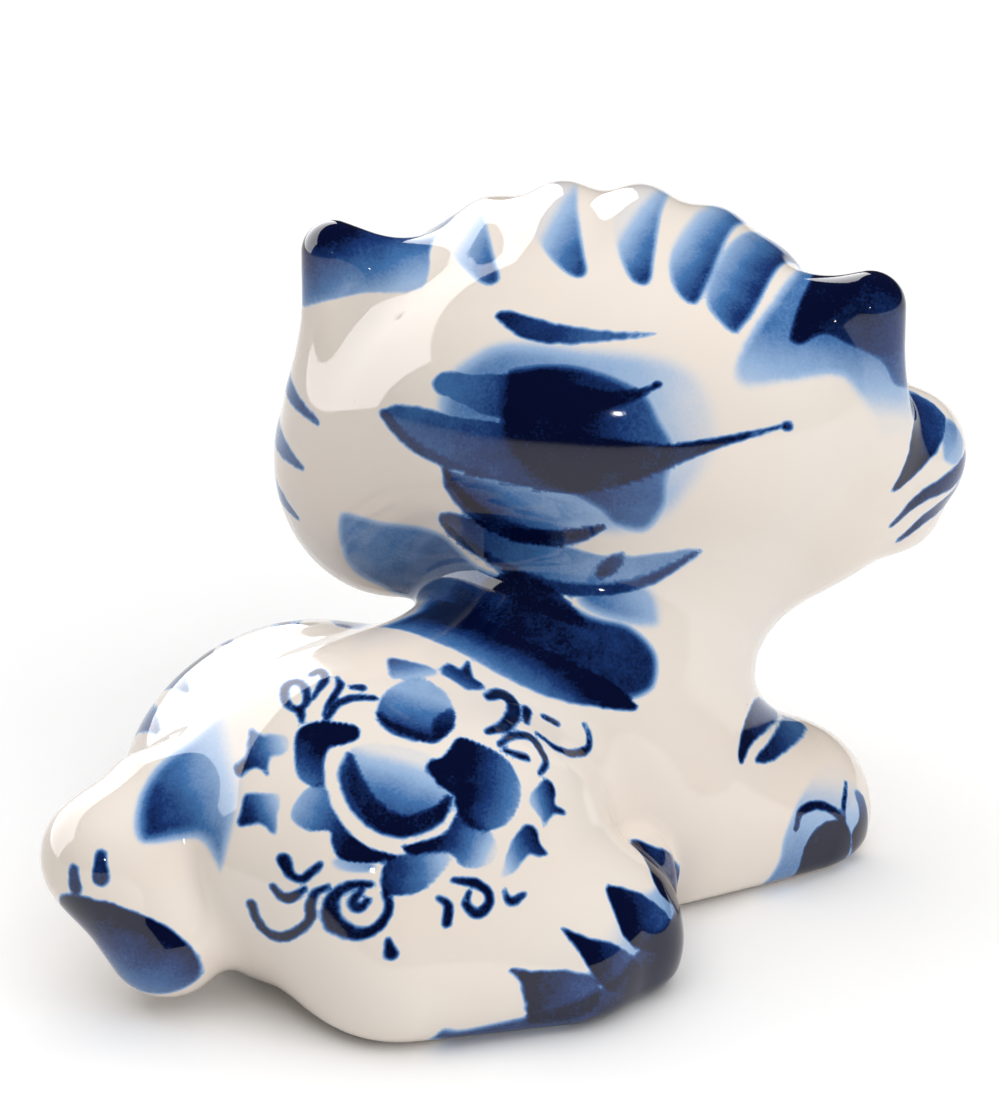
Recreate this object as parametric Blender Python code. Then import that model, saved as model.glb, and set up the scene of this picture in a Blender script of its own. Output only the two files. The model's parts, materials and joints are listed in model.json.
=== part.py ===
"""Glazed ceramic kitten figurine, built as a potter builds it.

The kitten is slip cast in separate moulds: a hollow body, a hollow head and small solid
castings for the ears, forelock, muzzle, tail, paws and front legs, luted together with slip.
The body with its legs and tail is one clay form and the head with its hair, ears and face is
another. The head is pressed into a seat in the body, and each joint then cuts its casting out
of the form that it belongs to.

The clay is modelled in millimetres with the floor at GROUND, and each finished casting is
brought to metres with the floor at Z = 0 under the middle of the kitten.
The kitten lies along +X with its paws forward, its left side is +Y and its head is turned left.
"""
import math

import bmesh
import bpy
import numpy as np
from mathutils import Matrix, Vector

# ---------------------------------------------------------------- driving dimensions (mm)
MM = 0.001
GROUND = -0.9                         # height of the floor, in modelling coordinates
ORIGIN = Vector((21.2, 1.5, GROUND))  # middle of the box around the kitten, on the floor
HEAD_CENTRE = Vector((35.5, 2.0, 47.0))
HEAD_TURN = 47.0                      # degrees that the head looks to the kitten's left
WALL = 3.0                            # thickness of the slip cast wall
JOINT_GAP = 0.3                       # slip joint between two castings
BED_DEPTH = 1.0                       # how far forelock and tail are pressed into what they lie on
LEG_APART = 0.4                       # space between the two front legs
FETTLE = 0.01                         # edges shorter than this are wiped off
BACKING = 2.0                         # clay left between the cavity and a joint
BODY_GRAIN = 2.8                      # edge length of the body's mesh
HEAD_GRAIN = 2.1                      # edge length of the head's mesh
SEAT_GRAIN = 2.8                      # edge length of the mesh that the head's seat is cut with
CAVITY_GRAIN = 4.5                    # edge length of the mesh inside
RELAX_ROUNDS = 12                     # times that a skin's points are spread evenly
RELAX_PASSES = 3                      # smoothing passes in each of those rounds
SETTLE_STEPS = 3                      # moves that bring the points back onto the surface
SETTLE_REACH = 1.5                    # furthest that one such move may take a point
SLOPE_STEP = 0.1                      # distance over which a slope is measured
LEAST_STEEPNESS = 0.25                # square of the gentlest slope that a move trusts
SLAB = 150.0                          # reach of the slab that the feet are rubbed flat on
VENT_BORE = 8.0                       # diameter of the firing vent in the base
VENT_PLACE = Vector((4.0, 0.0, GROUND))

LOCKS = 6                             # locks of hair side by side in the forelock
LOCK_ARCH = (18.5, 11.5)              # half width and height of the arch that they stand on
LOCK_SPREAD = 62.0                    # degrees from the arch's top to the last lock on each side
LOCK_SAG = 0.55                       # cosine of the place on the arch that is at ARCH_MIDDLE's height
LOCK_SIZE = (6.2, 11.0, 8.0)
ARCH_MIDDLE = (-1.0, 11.0, 9.5)

GLAZE_WHITE = (0.86, 0.83, 0.79)
COBALT = (0.10, 0.17, 0.42)
COBALT_WASH = (0.36, 0.45, 0.68)
COLOURS = {"left_ear": COBALT, "right_ear": COBALT, "forelock": COBALT_WASH, "tail": COBALT_WASH,
           "left_hind_paw": COBALT_WASH, "right_hind_paw": COBALT_WASH}
GLAZE_ROUGHNESS = 0.06
SHARP = 50.0                          # degrees between faces from which an edge is a crisp one


# ---------------------------------------------------------------- lumps of clay
def length(rows):
    return np.sqrt((rows * rows).sum(axis=1))


class Ball:
    """An ellipsoid of clay."""

    def __init__(self, centre, radii):
        self.centre = np.array(centre, dtype=float)
        self.radii = np.array(radii, dtype=float)

    def distance(self, points):
        scaled = (points - self.centre) / self.radii
        near = length(scaled)
        slope = length(scaled / self.radii)
        return near * (near - 1.0) / np.maximum(slope, 1e-9)

    def rough(self, mesh, frame, grow):
        size = Matrix.Diagonal((*(self.radii + grow), 1.0))
        place = frame @ Matrix.Translation(self.centre) @ size
        bmesh.ops.create_icosphere(mesh, subdivisions=3, radius=1.0, matrix=place)


class Web:
    """Clay pulled between two or three round corners."""

    def __init__(self, *corners):
        self.corners = np.array([corner[:3] for corner in corners], dtype=float)
        self.thick = np.array([corner[3] for corner in corners], dtype=float)

    def rod(self, points, start, end):
        along = self.corners[end] - self.corners[start]
        step = np.clip((points - self.corners[start]) @ along / (along @ along), 0.0, 1.0)
        nearest = self.corners[start] + step[:, None] * along
        thick = self.thick[start] + step * (self.thick[end] - self.thick[start])
        return length(points - nearest) - thick

    def distance(self, points):
        if len(self.corners) == 2:
            return self.rod(points, 0, 1)
        edges = [self.rod(points, start, (start + 1) % 3) for start in range(3)]
        result = np.minimum.reduce(edges)
        side = np.cross(self.corners[1] - self.corners[0], self.corners[2] - self.corners[0])
        side /= np.sqrt(side @ side)
        inside = np.ones(len(points), dtype=bool)
        for start in range(3):
            along = self.corners[(start + 1) % 3] - self.corners[start]
            inside &= (points - self.corners[start]) @ np.cross(side, along) > 0.0
        flat = np.abs((points - self.corners[0]) @ side) - self.thick.mean()
        return np.where(inside, np.minimum(result, flat), result)

    def rough(self, mesh, frame, grow):
        before = set(mesh.verts)
        for corner, thick in zip(self.corners, self.thick):
            place = frame @ Matrix.Translation(corner)
            bmesh.ops.create_icosphere(mesh, subdivisions=2, radius=thick + grow, matrix=place)
        added = [vert for vert in mesh.verts if vert not in before]
        bmesh.ops.delete(mesh, geom=list({face for vert in added for face in vert.link_faces}),
                         context="FACES_ONLY")
        hull = bmesh.ops.convex_hull(mesh, input=added)
        loose = [item for item in hull["geom_interior"] if isinstance(item, bmesh.types.BMVert)]
        bmesh.ops.delete(mesh, geom=loose, context="VERTS")


def both_sides(lump):
    """The lump and its mirror image on the kitten's other side."""
    if isinstance(lump, Ball):
        return [lump, Ball(lump.centre * (1.0, -1.0, 1.0), lump.radii)]
    mirrored = [(*(corner * (1.0, -1.0, 1.0)), thick) for corner, thick in zip(lump.corners, lump.thick)]
    return [lump, Web(*mirrored)]


def forelock_locks():
    """The locks stand in a row on an arch over the forehead, lower towards its ends."""
    locks = []
    for number in range(LOCKS):
        turn = math.radians(LOCK_SPREAD * (2.0 * number / (LOCKS - 1) - 1.0))
        across = ARCH_MIDDLE[0] + LOCK_ARCH[0] * math.sin(turn)
        up = ARCH_MIDDLE[2] + LOCK_ARCH[1] * (math.cos(turn) - LOCK_SAG)
        locks.append(Ball((across, ARCH_MIDDLE[1], up), LOCK_SIZE))
    return locks


# Each entry is a lump and the width of the fillet that joins it to the lumps before it.
BODY_LUMPS = [(Ball((0.0, -1.5, 13.0), (20.0, 20.5, 16.5)), 0.0)]
BODY_LUMPS += [(Web((2.5, -0.5, 15.0, 14.5), (28.0, 0.0, 17.5, 16.0)), 6.0)]
BODY_LUMPS += [(Web((34.0, 1.0, 19.0, 16.0), (41.0, 3.0, 34.0, 17.0)), 7.0)]
BODY_LUMPS += [(Web((6.0, 0.0, 8.0, 12.5), (36.0, 0.0, 8.0, 12.5)), 6.0)]
BODY_LUMPS += [(thigh, 4.0) for thigh in both_sides(Ball((4.5, 13.5, 11.5), (19.5, 13.0, 16.5)))]
BODY_LUMPS += [(leg, 8.0) for leg in both_sides(Web((36.0, 9.0, 7.5, 11.0), (51.5, 9.5, 3.0, 10.0)))]
BODY_LUMPS += [(shin, 7.0) for shin in both_sides(Web((-4.5, 19.0, 5.0, 7.5), (11.0, 23.0, 4.0, 9.5)))]
BODY_LUMPS += [(paw, 4.0) for paw in both_sides(Ball((17.0, 22.5, 4.5), (9.8, 8.0, 8.5)))]
BODY_LUMPS += [(toe, 1.5) for toe in both_sides(Ball((25.5, 18.5, 5.0), (4.5, 4.2, 7.0)))]
BODY_LUMPS += [(toe, 1.5) for toe in both_sides(Ball((19.5, 26.5, 3.5), (5.0, 4.4, 6.0)))]
BODY_LUMPS += [(Web((-18.0, 4.0, 17.0, 7.0), (-25.0, 3.0, 15.0, 6.0)), 4.0)]
BODY_LUMPS += [(Web((-25.0, 3.0, 15.0, 6.0), (-21.0, -1.5, 7.0, 6.5)), 3.0)]

BODY_CORE = 6                         # so many lumps from the first are the hollow casting

# Head lumps are measured from HEAD_CENTRE: to the kitten's right, ahead and up.
HEAD_LUMPS = [(Ball((0.0, 4.0, 1.0), (29.0, 19.0, 19.0)), 0.0)]
HEAD_LUMPS += [(Ball((-22.0, 7.5, -7.5), (13.0, 13.0, 15.0)), 6.0)]
HEAD_LUMPS += [(Ball((24.5, 11.0, -6.5), (11.0, 11.5, 10.0)), 6.0)]
HEAD_LUMPS += [(Ball((4.0, 9.0, -11.0), (25.0, 15.0, 14.5)), 6.0)]
HEAD_LUMPS += [(lock, 3.0) for lock in forelock_locks()]
HEAD_LUMPS += [(Ball((33.0, 12.0, -6.0), (5.0, 7.0, 6.0)), 3.0)]
HEAD_LUMPS += [(Ball((30.5, 12.0, -12.0), (5.0, 7.0, 4.5)), 2.0)]
HEAD_LUMPS += [(Web((-28.0, 4.0, 17.0, 3.3), (-28.0, 4.0, 2.0, 3.3), (-16.0, 6.0, 12.0, 3.3)), 5.0)]
HEAD_LUMPS += [(Web((28.0, 3.0, 14.0, 3.7), (28.0, 4.0, -1.0, 3.7), (17.0, 5.0, 10.5, 3.7)), 5.0)]
HEAD_LUMPS += [(Ball((-3.5, 24.0, -9.0), (7.0, 7.0, 6.0)), 3.0)]
HEAD_LUMPS += [(Ball((5.5, 24.0, -9.0), (7.0, 7.0, 6.0)), 3.0)]
HEAD_LUMPS += [(Ball((1.0, 23.0, -15.0), (5.5, 5.5, 4.0)), 3.0)]
HEAD_LUMPS += [(Ball((1.0, 29.5, -4.5), (3.0, 2.5, 2.2)), 1.5)]
HEAD_CORE = 4


# ---------------------------------------------------------------- the blended form
def head_frame():
    """Turns head coordinates (right, ahead, up) into modelling coordinates."""
    turn = math.radians(HEAD_TURN)
    right = Vector((math.sin(turn), -math.cos(turn), 0.0))
    ahead = Vector((math.cos(turn), math.sin(turn), 0.0))
    up = Vector((0.0, 0.0, 1.0))
    axes = Matrix((right, ahead, up)).transposed()
    return Matrix.Translation(HEAD_CENTRE) @ axes.to_4x4()


def fillet(first, second, width):
    """Joins two distances as one surface with a rounded inside corner."""
    if width == 0.0:
        return np.minimum(first, second)
    mix = np.clip(0.5 + 0.5 * (second - first) / width, 0.0, 1.0)
    return second + (first - second) * mix - width * mix * (1.0 - mix)


def blended(lumps, points):
    result = lumps[0][0].distance(points)
    for lump, width in lumps[1:]:
        result = fillet(result, lump.distance(points), width)
    return result


def in_head(points):
    to_head = np.array(head_frame().inverted())
    return points @ to_head[:3, :3].T + to_head[:3, 3]


def body_distance(points):
    """Distance in mm from each point to the surface of body, legs and tail, negative inside."""
    return blended(BODY_LUMPS, points)


def head_distance(points):
    """The same for the head with its hair, ears and face."""
    return blended(HEAD_LUMPS, in_head(points))


def body_core_distance(points):
    """The same for the lumps that are cast hollow, above the floor that the kitten stands on."""
    return np.maximum(blended(BODY_LUMPS[:BODY_CORE], points), GROUND - points[:, 2])


def head_core_distance(points):
    """The same for the skull and cheeks, which are cast hollow."""
    return blended(HEAD_LUMPS[:HEAD_CORE], in_head(points))


# ---------------------------------------------------------------- castings
def as_object(name, mesh):
    thing = bpy.data.objects.new(name, mesh)
    bpy.context.scene.collection.objects.link(thing)
    return thing


def from_bmesh(name, shape):
    mesh = bpy.data.meshes.new(name)
    bmesh.ops.recalc_face_normals(shape, faces=shape.faces)
    shape.to_mesh(mesh)
    shape.free()
    return as_object(name, mesh)


def apply_modifiers(thing):
    """Replaces the object's mesh with what its modifiers make of it."""
    graph = bpy.context.evaluated_depsgraph_get()
    mesh = bpy.data.meshes.new_from_object(thing.evaluated_get(graph))
    thing.modifiers.clear()
    thing.data = mesh


def copy_of(thing, name):
    return as_object(name, thing.data.copy())


def cut(thing, cutter, operation="DIFFERENCE"):
    boolean = thing.modifiers.new(operation.title(), "BOOLEAN")
    boolean.operation = operation
    boolean.solver = "MANIFOLD"
    boolean.object = cutter
    apply_modifiers(thing)


def discard(*things):
    for thing in things:
        bpy.data.objects.remove(thing)


def settled(name, lumps, distance, level, grain):
    """One closed skin over all the lumps, moved onto the surface where distance equals level."""
    shape = bmesh.new()
    for group, frame in lumps:
        for lump, _ in group:
            lump.rough(shape, frame, level)
    skin = from_bmesh(name, shape)
    remesh = skin.modifiers.new("Skin", "REMESH")
    remesh.mode = "VOXEL"
    remesh.voxel_size = grain
    apply_modifiers(skin)
    for _ in range(RELAX_ROUNDS):
        relax(skin.data)
        settle(skin.data, distance, level)
    return skin


def relax(mesh):
    """Evens out the spacing of a skin's points."""
    shape = bmesh.new()
    shape.from_mesh(mesh)
    for _ in range(RELAX_PASSES):
        bmesh.ops.smooth_vert(shape, verts=shape.verts, factor=0.5, use_axis_x=True, use_axis_y=True,
                              use_axis_z=True)
    shape.to_mesh(mesh)
    shape.free()


def settle(mesh, distance, level):
    """Moves a skin's points along the slope onto the surface where distance equals level."""
    flat = np.empty(len(mesh.vertices) * 3)
    mesh.vertices.foreach_get("co", flat)
    points = flat.reshape(-1, 3)
    for _ in range(SETTLE_STEPS):
        gap = distance(points) - level
        slope = np.empty_like(points)
        for axis in range(3):
            nudge = np.zeros(3)
            nudge[axis] = SLOPE_STEP
            slope[:, axis] = (distance(points + nudge) - distance(points - nudge)) / (2.0 * SLOPE_STEP)
        steepness = np.maximum((slope * slope).sum(axis=1), LEAST_STEEPNESS)
        move = slope * (gap / steepness)[:, None]
        far = np.maximum(length(move) / SETTLE_REACH, 1.0)
        points -= move / far[:, None]
    mesh.vertices.foreach_set("co", points.ravel())
    mesh.update()


def block(name, low, high, frame, grow=0.0):
    """A box between two corners of a frame, larger by grow all round."""
    low = Vector(low) - Vector((grow, grow, grow))
    high = Vector(high) + Vector((grow, grow, grow))
    shape = bmesh.new()
    size = Matrix.Diagonal((*(high - low), 1.0))
    place = frame @ Matrix.Translation((low + high) / 2.0) @ size
    bmesh.ops.create_cube(shape, size=1.0, matrix=place)
    return from_bmesh(name, shape)


def dome(name, lump, frame, grow):
    """One of the lumps as a solid of its own, larger by grow all round."""
    shape = bmesh.new()
    lump.rough(shape, frame, grow)
    return from_bmesh(name, shape)


def tilted(place, turn_x=0.0, turn_y=0.0, turn_z=0.0):
    """A frame at a place, turned about X, then Y, then Z, in degrees."""
    turns = Matrix.Rotation(math.radians(turn_z), 4, "Z")
    turns @= Matrix.Rotation(math.radians(turn_y), 4, "Y")
    turns @= Matrix.Rotation(math.radians(turn_x), 4, "X")
    return Matrix.Translation(place) @ turns


def flipped(low, high):
    """The same box on the kitten's other side."""
    return (low[0], -high[1], low[2]), (high[0], -low[1], high[2])


def head_joints():
    """Where castings are luted to the head: name, frame and corners of a box, dome underneath."""
    head = head_frame()
    skull = HEAD_LUMPS[0][0]
    left_ear = head @ tilted((-23.8, 5.0, 9.8), turn_y=-49.0)
    right_ear = head @ tilted((25.0, 5.0, 8.0), turn_y=54.0)
    return [
        ("left_ear", left_ear, (-13.0, -8.0, 0.0), (8.0, 9.0, 16.0), None),
        ("right_ear", right_ear, (-9.0, -8.0, 0.0), (13.5, 9.0, 16.0), None),
        ("forelock", head, (-20.5, -1.5, 5.0), (22.0, 26.0, 32.0), skull),
        ("muzzle", head, (-12.0, 22.5, -21.0), (14.0, 38.0, 1.0), None),
    ]


def body_joints():
    """The same for the castings that are luted to the body."""
    rump = BODY_LUMPS[0][0]
    left_paw = tilted((12.0, 13.0, 0.0), turn_z=17.0)
    right_paw = tilted((12.0, -13.0, 0.0), turn_z=-17.0)
    paw_box = ((0.0, 0.0, GROUND - 1.0), (25.0, 24.0, 11.5))
    leg_box = ((44.5, LEG_APART / 2.0, GROUND - 1.0), (70.0, 24.0, 14.0))
    still = Matrix.Identity(4)
    return [
        ("tail", still, (-40.0, -10.5, GROUND - 1.0), (-12.0, 12.0, 27.0), rump),
        ("left_hind_paw", left_paw, *paw_box, None),
        ("right_hind_paw", right_paw, *flipped(*paw_box), None),
        ("left_front_leg", still, *leg_box, None),
        ("right_front_leg", still, *flipped(*leg_box), None),
    ]


def lift_off(clay, name, frame, low, high, under):
    """Cuts one solid casting out of the clay and leaves a slip joint's gap around it."""
    casting = copy_of(clay, name)
    mould = block("mould", low, high, frame)
    socket = block("socket", low, high, frame, JOINT_GAP)
    if under is not None:
        bed = dome("bed", under, frame, -BED_DEPTH)
        cut(mould, bed)
        deeper_bed = dome("deeper_bed", under, frame, -BED_DEPTH - JOINT_GAP)
        cut(socket, deeper_bed)
        discard(bed, deeper_bed)
    cut(casting, mould, "INTERSECT")
    cut(clay, socket)
    discard(mould, socket)
    return casting


def hollow_out(body, head):
    """Empties body and head, opens the neck between them and drills a vent in the base."""
    body_core = [(BODY_LUMPS[:BODY_CORE], Matrix.Identity(4))]
    head_core = [(HEAD_LUMPS[:HEAD_CORE], head_frame())]
    body_cavity = settled("body_cavity", body_core, body_core_distance, -WALL, CAVITY_GRAIN)
    head_cavity = settled("head_cavity", head_core, head_core_distance, -WALL, CAVITY_GRAIN)
    for _, frame, low, high, under in head_joints() + body_joints():
        if under is None:
            backing = block("backing", low, high, frame, BACKING)
            cut(body_cavity, backing)
            cut(head_cavity, backing)
            discard(backing)
    shape = bmesh.new()
    place = Matrix.Translation(VENT_PLACE)
    bmesh.ops.create_cone(shape, cap_ends=True, segments=32, radius1=VENT_BORE / 2.0,
                          radius2=VENT_BORE / 2.0, depth=4.0 * WALL, matrix=place)
    vent = from_bmesh("vent", shape)
    cut(body, body_cavity)
    cut(body, head_cavity)
    cut(body, vent)
    cut(head, head_cavity)
    cut(head, body_cavity)
    discard(body_cavity, head_cavity, vent)


def glazed(name, colour, roughness):
    material = bpy.data.materials.new(name)
    material.use_nodes = True
    shader = material.node_tree.nodes["Principled BSDF"]
    shader.inputs["Base Color"].default_value = (*colour, 1.0)
    shader.inputs["Roughness"].default_value = roughness
    shader.inputs["Metallic"].default_value = 0.0
    return material


def fettle(mesh):
    """Wipes off the slivers that cutting leaves, as a potter does with a sponge."""
    shape = bmesh.new()
    shape.from_mesh(mesh)
    bmesh.ops.triangulate(shape, faces=shape.faces)
    bmesh.ops.remove_doubles(shape, verts=shape.verts, dist=FETTLE)
    bmesh.ops.dissolve_degenerate(shape, edges=shape.edges, dist=FETTLE)
    shape.to_mesh(mesh)
    shape.free()


def finish(casting, colour):
    """Brings a casting to metres around the kitten's own origin, and glazes it."""
    fettle(casting.data)
    casting.data.transform(Matrix.Scale(MM, 4) @ Matrix.Translation(-ORIGIN))
    casting.data.materials.clear()
    casting.data.materials.append(glazed(casting.name + "_glaze", colour, GLAZE_ROUGHNESS))
    casting.data.shade_smooth()
    casting.data.set_sharp_from_angle(angle=math.radians(SHARP))


def build():
    for thing in list(bpy.data.objects):
        bpy.data.objects.remove(thing)
    body = settled("body_shell", [(BODY_LUMPS, Matrix.Identity(4))], body_distance, 0.0, BODY_GRAIN)
    head = settled("head_shell", [(HEAD_LUMPS, head_frame())], head_distance, 0.0, HEAD_GRAIN)
    seat = settled("seat", [(HEAD_LUMPS, head_frame())], head_distance, JOINT_GAP, SEAT_GRAIN)
    ground = block("ground", (-SLAB, -SLAB, -SLAB), (SLAB, SLAB, GROUND), Matrix.Identity(4))
    cut(body, ground)
    cut(body, seat)
    discard(ground, seat)
    castings = [lift_off(body, *joint) for joint in body_joints()]
    castings += [lift_off(head, *joint) for joint in head_joints()]
    hollow_out(body, head)
    for casting in [body, head, *castings]:
        finish(casting, COLOURS.get(casting.name, GLAZE_WHITE))


build()
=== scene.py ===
"""Looks of the crouching kitten: its fine skin, cobalt painting, clear glaze, light and camera.

Lengths are millimetres in the modelling coordinates of the CAD model: the kitten looks out
along +X at its paws, its left side is +Y. Each finished piece is then brought to metres.
"""
import json
import math

import bpy
import numpy as np
from mathutils import Matrix, Vector


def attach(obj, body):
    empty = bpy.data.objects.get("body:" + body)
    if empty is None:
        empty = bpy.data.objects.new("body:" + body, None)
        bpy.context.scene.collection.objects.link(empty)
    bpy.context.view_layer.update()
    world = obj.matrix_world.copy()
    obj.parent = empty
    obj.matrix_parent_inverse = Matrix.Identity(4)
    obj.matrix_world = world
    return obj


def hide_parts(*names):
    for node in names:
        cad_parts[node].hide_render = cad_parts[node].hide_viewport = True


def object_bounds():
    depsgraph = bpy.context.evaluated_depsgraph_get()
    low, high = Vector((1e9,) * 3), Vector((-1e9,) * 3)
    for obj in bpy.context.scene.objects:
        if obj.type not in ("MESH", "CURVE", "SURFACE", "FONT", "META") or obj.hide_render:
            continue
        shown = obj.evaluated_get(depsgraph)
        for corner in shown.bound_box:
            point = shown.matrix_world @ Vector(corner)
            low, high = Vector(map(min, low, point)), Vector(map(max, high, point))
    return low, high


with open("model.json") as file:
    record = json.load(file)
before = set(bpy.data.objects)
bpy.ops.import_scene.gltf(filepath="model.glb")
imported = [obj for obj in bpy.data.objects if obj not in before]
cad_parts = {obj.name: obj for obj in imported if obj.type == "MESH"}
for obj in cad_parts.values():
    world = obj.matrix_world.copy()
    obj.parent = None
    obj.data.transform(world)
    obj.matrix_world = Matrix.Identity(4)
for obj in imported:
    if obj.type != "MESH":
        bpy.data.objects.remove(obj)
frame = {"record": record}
CAD_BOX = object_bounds()

MM = 0.001
GROUND = -0.9                         # height of the floor, in modelling coordinates
ORIGIN = Vector((21.2, 1.5, GROUND))  # middle of the box around the kitten, on the floor
HEAD_CENTRE = Vector((35.5, 2.0, 47.0))
HEAD_TURN = 47.0                      # degrees that the head looks to the kitten's left
NECK_BLEND = 4.0                      # slip that fills the crease between head and shoulders
BASE_EDGE = 2.4                       # rounding where the sides meet the flat base

GRAIN = 0.42                          # edge length of the fine skin
BLOCK = 4                             # cells along each side of a coarse block of the grid
GRID_MARGIN = 3.0                     # space that the grid leaves around the kitten
NEAR_SURFACE = 3.0                    # blocks nearer than this are worked out cell by cell
SETTLE_ROUNDS = 2                     # times that the points are evened out and settled
SETTLE_STEPS = 2
SETTLE_REACH = 0.5                    # furthest that one move may take a point
SLOPE_STEP = 0.05                     # distance over which a slope is measured

LOCKS = 6                             # locks of hair side by side in the forelock
LOCK_ARCH = (18.5, 11.5)              # half width and height of the arch that they stand on
LOCK_SIZE = (6.2, 11.0, 8.0)
ARCH_MIDDLE = (-1.0, 11.0, 9.5)

PAINT_REACH = 1.2                     # how far outside a stroke its edge is still measured
PER_MM = 1000.0                       # texture scale of one cell for each millimetre
HAUNCH_NEAR = ((4.5, -24.0, 17.0), (0.05, -1.0, 0.55), 1.0)   # middle, facing and size of the rose
HAUNCH_FAR = ((4.5, -24.0, 14.0), (0.05, -1.0, 0.35), 0.75)
VENT_BORE = 8.0                       # the firing vent in the base
VENT_PLACE = (4.0, 0.0)
VENT_DEPTH = 4.0
VENT_EDGE = 0.8
PLUG_DEPTH = 3.0                      # how far the cone that closes a casting runs in
EDGE_WANDER = 0.35                    # how far the grain moves the edge of the paint, in mm
LAYER_FEATHER = {"wash": 0.9, "line": 0.3}
PINHOLE_SPACING = 5.0                 # millimetres between pinholes in the glaze
PINHOLE_RADIUS = 0.16
GLAZE_ROUGHNESS = 0.035
PORCELAIN_COOL = (0.80, 0.735, 0.67)
PORCELAIN_WARM = (0.81, 0.715, 0.63)
COBALT_STOPS = [
    (0.0, (0.60, 0.67, 0.76)),
    (0.25, (0.30, 0.44, 0.66)),
    (0.5, (0.055, 0.16, 0.38)),
    (0.75, (0.010, 0.037, 0.155)),
    (0.95, (0.001, 0.003, 0.024)),
]

VIEW_AZIMUTH = -36.0
VIEW_ELEVATION = 24.0
VIEW_DISTANCE = 600.0
VIEW_WIDTH = 100.0                    # what the picture's width spans at the target
VIEW_TARGET = Vector((11.8, -13.7, 45.2))
ROOM_LIGHT = 0.03


# ---------------------------------------------------------------- lumps of clay
def length(rows):
    return np.sqrt((rows * rows).sum(axis=1))


class Ball:
    """An ellipsoid of clay."""

    def __init__(self, centre, radii):
        self.centre = np.array(centre, dtype=float)
        self.radii = np.array(radii, dtype=float)

    def distance(self, points):
        scaled = (points - self.centre) / self.radii
        near = length(scaled)
        slope = length(scaled / self.radii)
        return near * (near - 1.0) / np.maximum(slope, 1e-9)


class Web:
    """Clay pulled between two or three round corners."""

    def __init__(self, *corners):
        self.corners = np.array([corner[:3] for corner in corners], dtype=float)
        self.thick = np.array([corner[3] for corner in corners], dtype=float)

    def rod(self, points, start, end):
        along = self.corners[end] - self.corners[start]
        step = np.clip((points - self.corners[start]) @ along / (along @ along), 0.0, 1.0)
        nearest = self.corners[start] + step[:, None] * along
        thick = self.thick[start] + step * (self.thick[end] - self.thick[start])
        return length(points - nearest) - thick

    def distance(self, points):
        if len(self.corners) == 2:
            return self.rod(points, 0, 1)
        edges = [self.rod(points, start, (start + 1) % 3) for start in range(3)]
        result = np.minimum.reduce(edges)
        side = np.cross(self.corners[1] - self.corners[0], self.corners[2] - self.corners[0])
        side /= np.sqrt(side @ side)
        inside = np.ones(len(points), dtype=bool)
        for start in range(3):
            along = self.corners[(start + 1) % 3] - self.corners[start]
            inside &= (points - self.corners[start]) @ np.cross(side, along) > 0.0
        flat = np.abs((points - self.corners[0]) @ side) - self.thick.mean()
        return np.where(inside, np.minimum(result, flat), result)


def both_sides(lump):
    """The lump and its mirror image on the kitten's other side."""
    if isinstance(lump, Ball):
        return [lump, Ball(lump.centre * (1.0, -1.0, 1.0), lump.radii)]
    mirrored = [(*(corner * (1.0, -1.0, 1.0)), thick) for corner, thick in zip(lump.corners, lump.thick)]
    return [lump, Web(*mirrored)]


def forelock_locks():
    """The locks stand in a row on an arch over the forehead, lower towards its ends."""
    locks = []
    for number in range(LOCKS):
        turn = math.radians(-62.0 + 124.0 * number / (LOCKS - 1))
        across = ARCH_MIDDLE[0] + LOCK_ARCH[0] * math.sin(turn)
        up = ARCH_MIDDLE[2] + LOCK_ARCH[1] * (math.cos(turn) - 0.55)
        locks.append(Ball((across, ARCH_MIDDLE[1], up), LOCK_SIZE))
    return locks


# Each entry is a lump and the width of the fillet that joins it to the lumps before it.
BODY_LUMPS = [(Ball((0.0, -1.5, 13.0), (20.0, 20.5, 16.5)), 0.0)]
BODY_LUMPS += [(Web((2.5, -0.5, 15.0, 14.5), (28.0, 0.0, 17.5, 16.0)), 6.0)]
BODY_LUMPS += [(Web((34.0, 1.0, 19.0, 16.0), (41.0, 3.0, 34.0, 17.0)), 7.0)]
BODY_LUMPS += [(Web((6.0, 0.0, 8.0, 12.5), (36.0, 0.0, 8.0, 12.5)), 6.0)]
BODY_LUMPS += [(thigh, 4.0) for thigh in both_sides(Ball((4.5, 13.5, 11.5), (19.5, 13.0, 16.5)))]
BODY_LUMPS += [(leg, 8.0) for leg in both_sides(Web((36.0, 9.0, 7.5, 11.0), (51.5, 9.5, 3.0, 10.0)))]
BODY_LUMPS += [(shin, 7.0) for shin in both_sides(Web((-4.5, 19.0, 5.0, 7.5), (11.0, 23.0, 4.0, 9.5)))]
BODY_LUMPS += [(paw, 4.0) for paw in both_sides(Ball((17.0, 22.5, 4.5), (9.8, 8.0, 8.5)))]
BODY_LUMPS += [(toe, 1.5) for toe in both_sides(Ball((25.5, 18.5, 5.0), (4.5, 4.2, 7.0)))]
BODY_LUMPS += [(toe, 1.5) for toe in both_sides(Ball((19.5, 26.5, 3.5), (5.0, 4.4, 6.0)))]
BODY_LUMPS += [(Web((-18.0, 4.0, 17.0, 7.0), (-25.0, 3.0, 15.0, 6.0)), 4.0)]
BODY_LUMPS += [(Web((-25.0, 3.0, 15.0, 6.0), (-21.0, -1.5, 7.0, 6.5)), 3.0)]


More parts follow.
